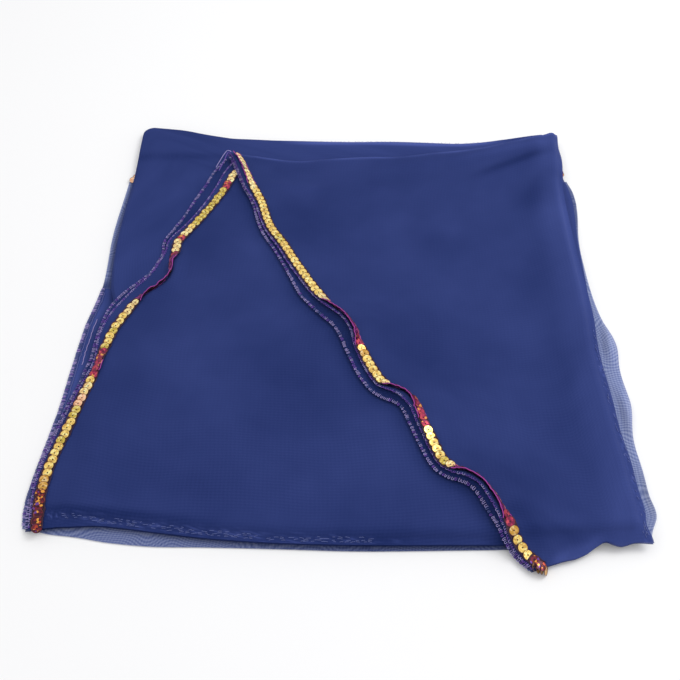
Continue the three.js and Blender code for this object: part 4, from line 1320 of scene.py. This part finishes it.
def braid(name, stretch, grid, st, start):
    f = trim_frames(stretch, grid, st, start, BRAID_ROWS)
    strip = np.stack([f["centre"] + f["across"] * out + f["up"] * BRAID_LIFT
                      for out in BRAID_ACROSS], axis=1)
    rows, columns, _ = strip.shape
    band = mesh_piece(name + "_braid", strip, grid_faces(rows, columns), braid_mat)
    place(band)
    side = stretch["side"]
    rolled = f["roll"] > SIDE_THREAD["rolled_from"]
    for word, chosen, material in (("dark", ~rolled, braid_mat), ("magenta", rolled, magenta_mat)):
        lines = []
        for edge in (-1, 1):
            wobble = rng.normal(0, 0.28, (rows, 1))
            lift = (0.45 if edge == -side else 0.15) + rng.normal(0, 0.14, (rows, 1))
            out = edge * SIDE_THREAD["out"] + wobble
            line = f["centre"] + f["across"] * out + f["up"] * lift
            cuts = np.flatnonzero(np.diff(chosen.astype(int))) + 1
            for run in np.split(np.arange(rows), cuts):
                if chosen[run[0]] and len(run) > 1:
                    lines.append(line[run[0]:min(run[-1] + 2, rows)])
        tubes(f"{name}_{word}_threads", lines, SIDE_THREAD["radius"], material)
    print(name, rows, "rows of braid")


braid("lower_trim", LOWER, lower_top_grid, lower_stations, start=lower_start)
braid("upper_trim", UPPER, upper_top_grid, upper_stations, start=0.5)

# %% [markdown]
# The raw edges of the chiffon are overlocked. Each stitch is a loop of thread over the edge, here a
# small U of seven points with uneven legs, and its colour is drawn by the share of each thread.

# %% Overlocked hems
def overlock(name, grid_edge, grid_inner, pitch, reach, radius, span, mix):
    """Loops over an edge, each an irregular U. Mix names the share of each thread colour.

    The two lines are the edge and a line just inside it. Span is the width of each U as a share
    of the pitch.
    """
    step = np.linalg.norm(np.diff(grid_edge, axis=0), axis=1)
    length = np.concatenate([[0], np.cumsum(step)])
    s = np.arange(pitch / 2, length[-1] - pitch, pitch)
    s = s + rng.uniform(-0.22, 0.22, len(s)) * pitch
    at = lambda line, q: np.array([np.interp(q, length, line[:, i]) for i in range(3)])
    up = np.array([0, 0, 1.0])
    colours = {colour: [] for colour in mix}
    for q in s:
        wide = span * pitch * rng.uniform(0.7, 1.2)
        deep = reach * rng.uniform(0.6, 1.15, 2)
        out = rng.uniform(0.1, 0.5)
        colour = rng.choice(list(mix), p=list(mix.values()))
        a, b = at(grid_edge, q), at(grid_edge, q + wide)
        inward = at(grid_inner, q) - a
        inward /= np.linalg.norm(inward)
        middle = (a + b) / 2 - inward * out
        colours[colour].append([
            a + inward * deep[0] + up * 0.2, a + inward * deep[0] * 0.5 + up * 0.4,
            a - inward * out * 0.5 + up * 0.25, middle + up * 0.12, b - inward * out * 0.5 + up * 0.25,
            b + inward * deep[1] * 0.5 + up * 0.4, b + inward * deep[1] + up * 0.2,
        ])
    for colour, lines in colours.items():
        if lines:
            tubes(f"{name}_{colour}", lines, radius, THREADS[colour])
    print(name, sum(len(lines) for lines in colours.values()), "loops")


HEM_MIX = {"lilac": 0.62, "purple": 0.28, "blue": 0.1}
OWN_MIX = {"lilac": 0.4, "purple": 0.6}
LEFT_MIX = {"lilac": 0.28, "purple": 0.08, "blue": 0.64}
INNER = 4              # the column that lies just inside a hem
for name, grid, pitch, reach, radius, span, mix in (
    ("lower_under_hem", lower_under_grid, 2.1, 1.9, 0.21, 0.5, HEM_MIX),
    ("upper_under_hem", upper_under_grid, 2.1, 1.8, 0.21, 0.5, HEM_MIX),
    ("lower_own_hem", lower_top_grid, 1.9, 1.1, 0.19, 0.7, OWN_MIX),
    ("upper_own_hem", upper_top_grid, 1.9, 1.0, 0.19, 0.7, OWN_MIX),
):
    overlock(name, grid[:, 0], grid[:, INNER], pitch, reach, radius, span, mix)

# %% [markdown]
# The left margin of the bottom layer is turned under in its front half. It has closer stitches over
# its edge, and beside them three sewn lines run along it.

# %% Left margin
margin = bottom_grid[(bottom_grid[:, 0, 1] < LEFT_TURN["back"]) & (bottom_grid[:, 0, 1] > -196)]
left_edge = margin[:, 0]
left_inner = margin[:, 3]
overlock("bottom_hem", left_edge, left_inner, pitch=0.95, reach=2.3, radius=0.2, span=0.6,
         mix=LEFT_MIX)
inward_left = left_inner - left_edge
inward_left /= np.linalg.norm(inward_left, axis=1)[:, None]
for colour, inset, back, front in (("lilac", 5.6, -118, -196), ("blue", 3.4, -2, -130),
                                   ("lilac", 6.2, -30, -74)):
    seam = left_edge + inward_left * inset + (0, 0, 0.25)
    seam = seam[(left_edge[:, 1] < back) & (left_edge[:, 1] > front)]
    seam += rng.normal(0, 0.22, seam.shape) * (1, 0, 0.3)
    tubes(f"bottom_seam_{inset:.0f}_{-back}", [seam], 0.27, THREADS[colour])
print("left margin", len(left_edge), "points long")

# %% [markdown]
# Where the chiffon is folded sharply or frayed, single yarns catch the light as short pale marks:
# along the front rim, at the right rim and as a hatching on the back edge of the pile. Their pale
# colour is a painted highlight. Hair could grow there, but a few dozen short tubes on drawn points
# are enough and stay in place.

# %% Pale yarns on the rims
# the yarns' pale colour is a painted highlight, the light that folded and frayed yarns catch
yarn_highlight_mat, _ = principled("pale_yarn_highlight", (0.13, 0.165, 0.41), 0.6)


def rim_yarns(name, grid, chosen, count, heading, length, radius=0.13):
    """Short yarns on randomly drawn points of a grid, among those that are chosen."""
    points = grid[chosen]
    points = points[rng.choice(len(points), min(count, len(points)), replace=False)]
    lines = []
    for point in points:
        turn = math.radians(heading + rng.uniform(-14, 14))
        point = point + (rng.uniform(-1.4, 1.4), 0, 0)
        half = length * rng.uniform(0.25, 0.6) * np.array([math.cos(turn), math.sin(turn), 0])
        lines.append([point - half + (0, 0, 0.12), point + (0, 0, 0.3), point + half + (0, 0, 0.12)])
    print(name, len(lines), "yarns")
    return tubes(name, lines, radius, yarn_highlight_mat)


upper_right = past_core(upper_top_grid[:, :, 0], upper_top_grid[:, :, 1])[0]
behind_rim = where(PILE_BACK, "x", "y", pile_grid[:, :, 0]) - pile_grid[:, :, 1]
rim_yarns("front_rim_yarns", lower_top_grid,
          (lower_front > 5) & (lower_front < 8) & (lower_x < 20) & (lower_x > -168),
          count=120, heading=0, length=2.8)
rim_yarns("right_rim_yarns", upper_top_grid,
          (upper_right > 7) & (upper_right < 9.6) & (upper_top_grid[:, :, 1] < -45),
          count=60, heading=100, length=2.6)
rim_yarns("back_edge_yarns", pile_grid,
          (behind_rim > -0.8) & (behind_rim < 1.6) & (pile_grid[:, :, 2] > 4.6)
          & (pile_grid[:, :, 0] > -20) & (pile_grid[:, :, 0] < 120),
          count=90, heading=60, length=2.2)

# %% [markdown]
# At the top of the V a loop of thread has come free and stands up in a small arch. No rule gives its
# path, so a few given points lead a smooth curve.

# %% Loose thread at the top of the V
LOOSE_THREADS = {
    "lilac": table("x y z", [
        (-104, 131, 10.6), (-100.5, 140, 12.2), (-97.5, 147.5, 13), (-95.5, 150, 13.2),
        (-93, 149, 13.2), (-90.5, 144, 13.6), (-86, 135, 14.4),
    ]),
    "purple": table("x y z", [
        (-101, 126, 11.2), (-97.8, 136, 12.6), (-95.6, 145.5, 13.4), (-93, 147.6, 13.8),
        (-90.2, 146.5, 14), (-87.4, 139, 14.4), (-84.5, 130, 14.2), (-82, 122, 14),
    ]),
}
for colour, loose in LOOSE_THREADS.items():
    t = np.linspace(0, len(loose["x"]) - 1, 40)
    loose_line = np.stack([through(loose, c, t) for c in "xyz"], axis=1)
    tubes("loose_thread_" + colour, [loose_line], 0.28, THREADS[colour])
    print("loose", colour, "thread of", len(loose_line), "points")

# %% [markdown]
# ## Table, light and camera
#
# The shawl lies on a pale table. The top is a single large square, so that its edge stays out of the
# picture from above, and it has no gloss that would mirror the lamp.

# %% Table
TABLE_HALF = 3.0       # half its side, in metres


def floor_piece():
    data = bpy.data.meshes.new("table")
    corners = [(x * TABLE_HALF, y * TABLE_HALF, 0) for x, y in ((-1, -1), (1, -1), (1, 1), (-1, 1))]
    data.from_pydata(corners, [], [(0, 1, 2, 3)])
    mat, _ = principled("table_top", (0.93, 0.93, 0.94), 0.9, Specular_IOR_Level=0.0)
    data.materials.append(mat)
    return link(bpy.data.objects.new("table", data))


floor = floor_piece()
print("table", 2 * TABLE_HALF, "m wide")

# %% [markdown]
# The picture is bright and almost free of shadow. A white surrounding gives that even light, and one
# large round lamp from the back right adds the soft glints on the foil.

# %% Light
def area_light(name, location, size, power):
    """A round lamp that shines at the middle of the shawl."""
    data = bpy.data.lights.new(name, "AREA")
    data.shape = "DISK"
    data.size = size
    data.energy = power
    obj = link(bpy.data.objects.new(name, data))
    obj.location = location
    x, y, z = location
    pitch = math.atan2(z, math.hypot(x, y))
    obj.rotation_euler = (math.pi / 2 - pitch, 0, math.atan2(-y, -x) - math.pi / 2)
    return obj


world = bpy.data.worlds.new("studio")
world.use_nodes = True
background = world.node_tree.nodes["Background"]
background.inputs["Color"].default_value = (1, 1, 1, 1)
background.inputs["Strength"].default_value = 0.85
bpy.context.scene.world = world
area_light("key", (1.0, 0.35, 1.2), size=0.8, power=9)
bpy.context.scene.view_settings.view_transform = "Standard"
print("one lamp and a white surrounding")

# %% [markdown]
# The camera looks down at fifty degrees through a 45 mm lens. Its place was worked out from the
# tables' size and the width of the shawl in the picture.

# %% Camera
CAMERA = (0, -438.8, 464)   # in the tables' millimetres
CAMERA_DOWN = 50            # degrees below the horizon
camera_data = bpy.data.cameras.new("camera")
camera_data.lens = 45
camera_data.sensor_width = 36
camera_data.clip_start = 0.01
camera = link(bpy.data.objects.new("camera", camera_data))
camera.location = to_part(CAMERA)[0]
camera.rotation_euler = (math.radians(90 - CAMERA_DOWN), 0, 0)
bpy.context.scene.camera = camera
print("camera at", [round(c, 4) for c in camera.location], "m")
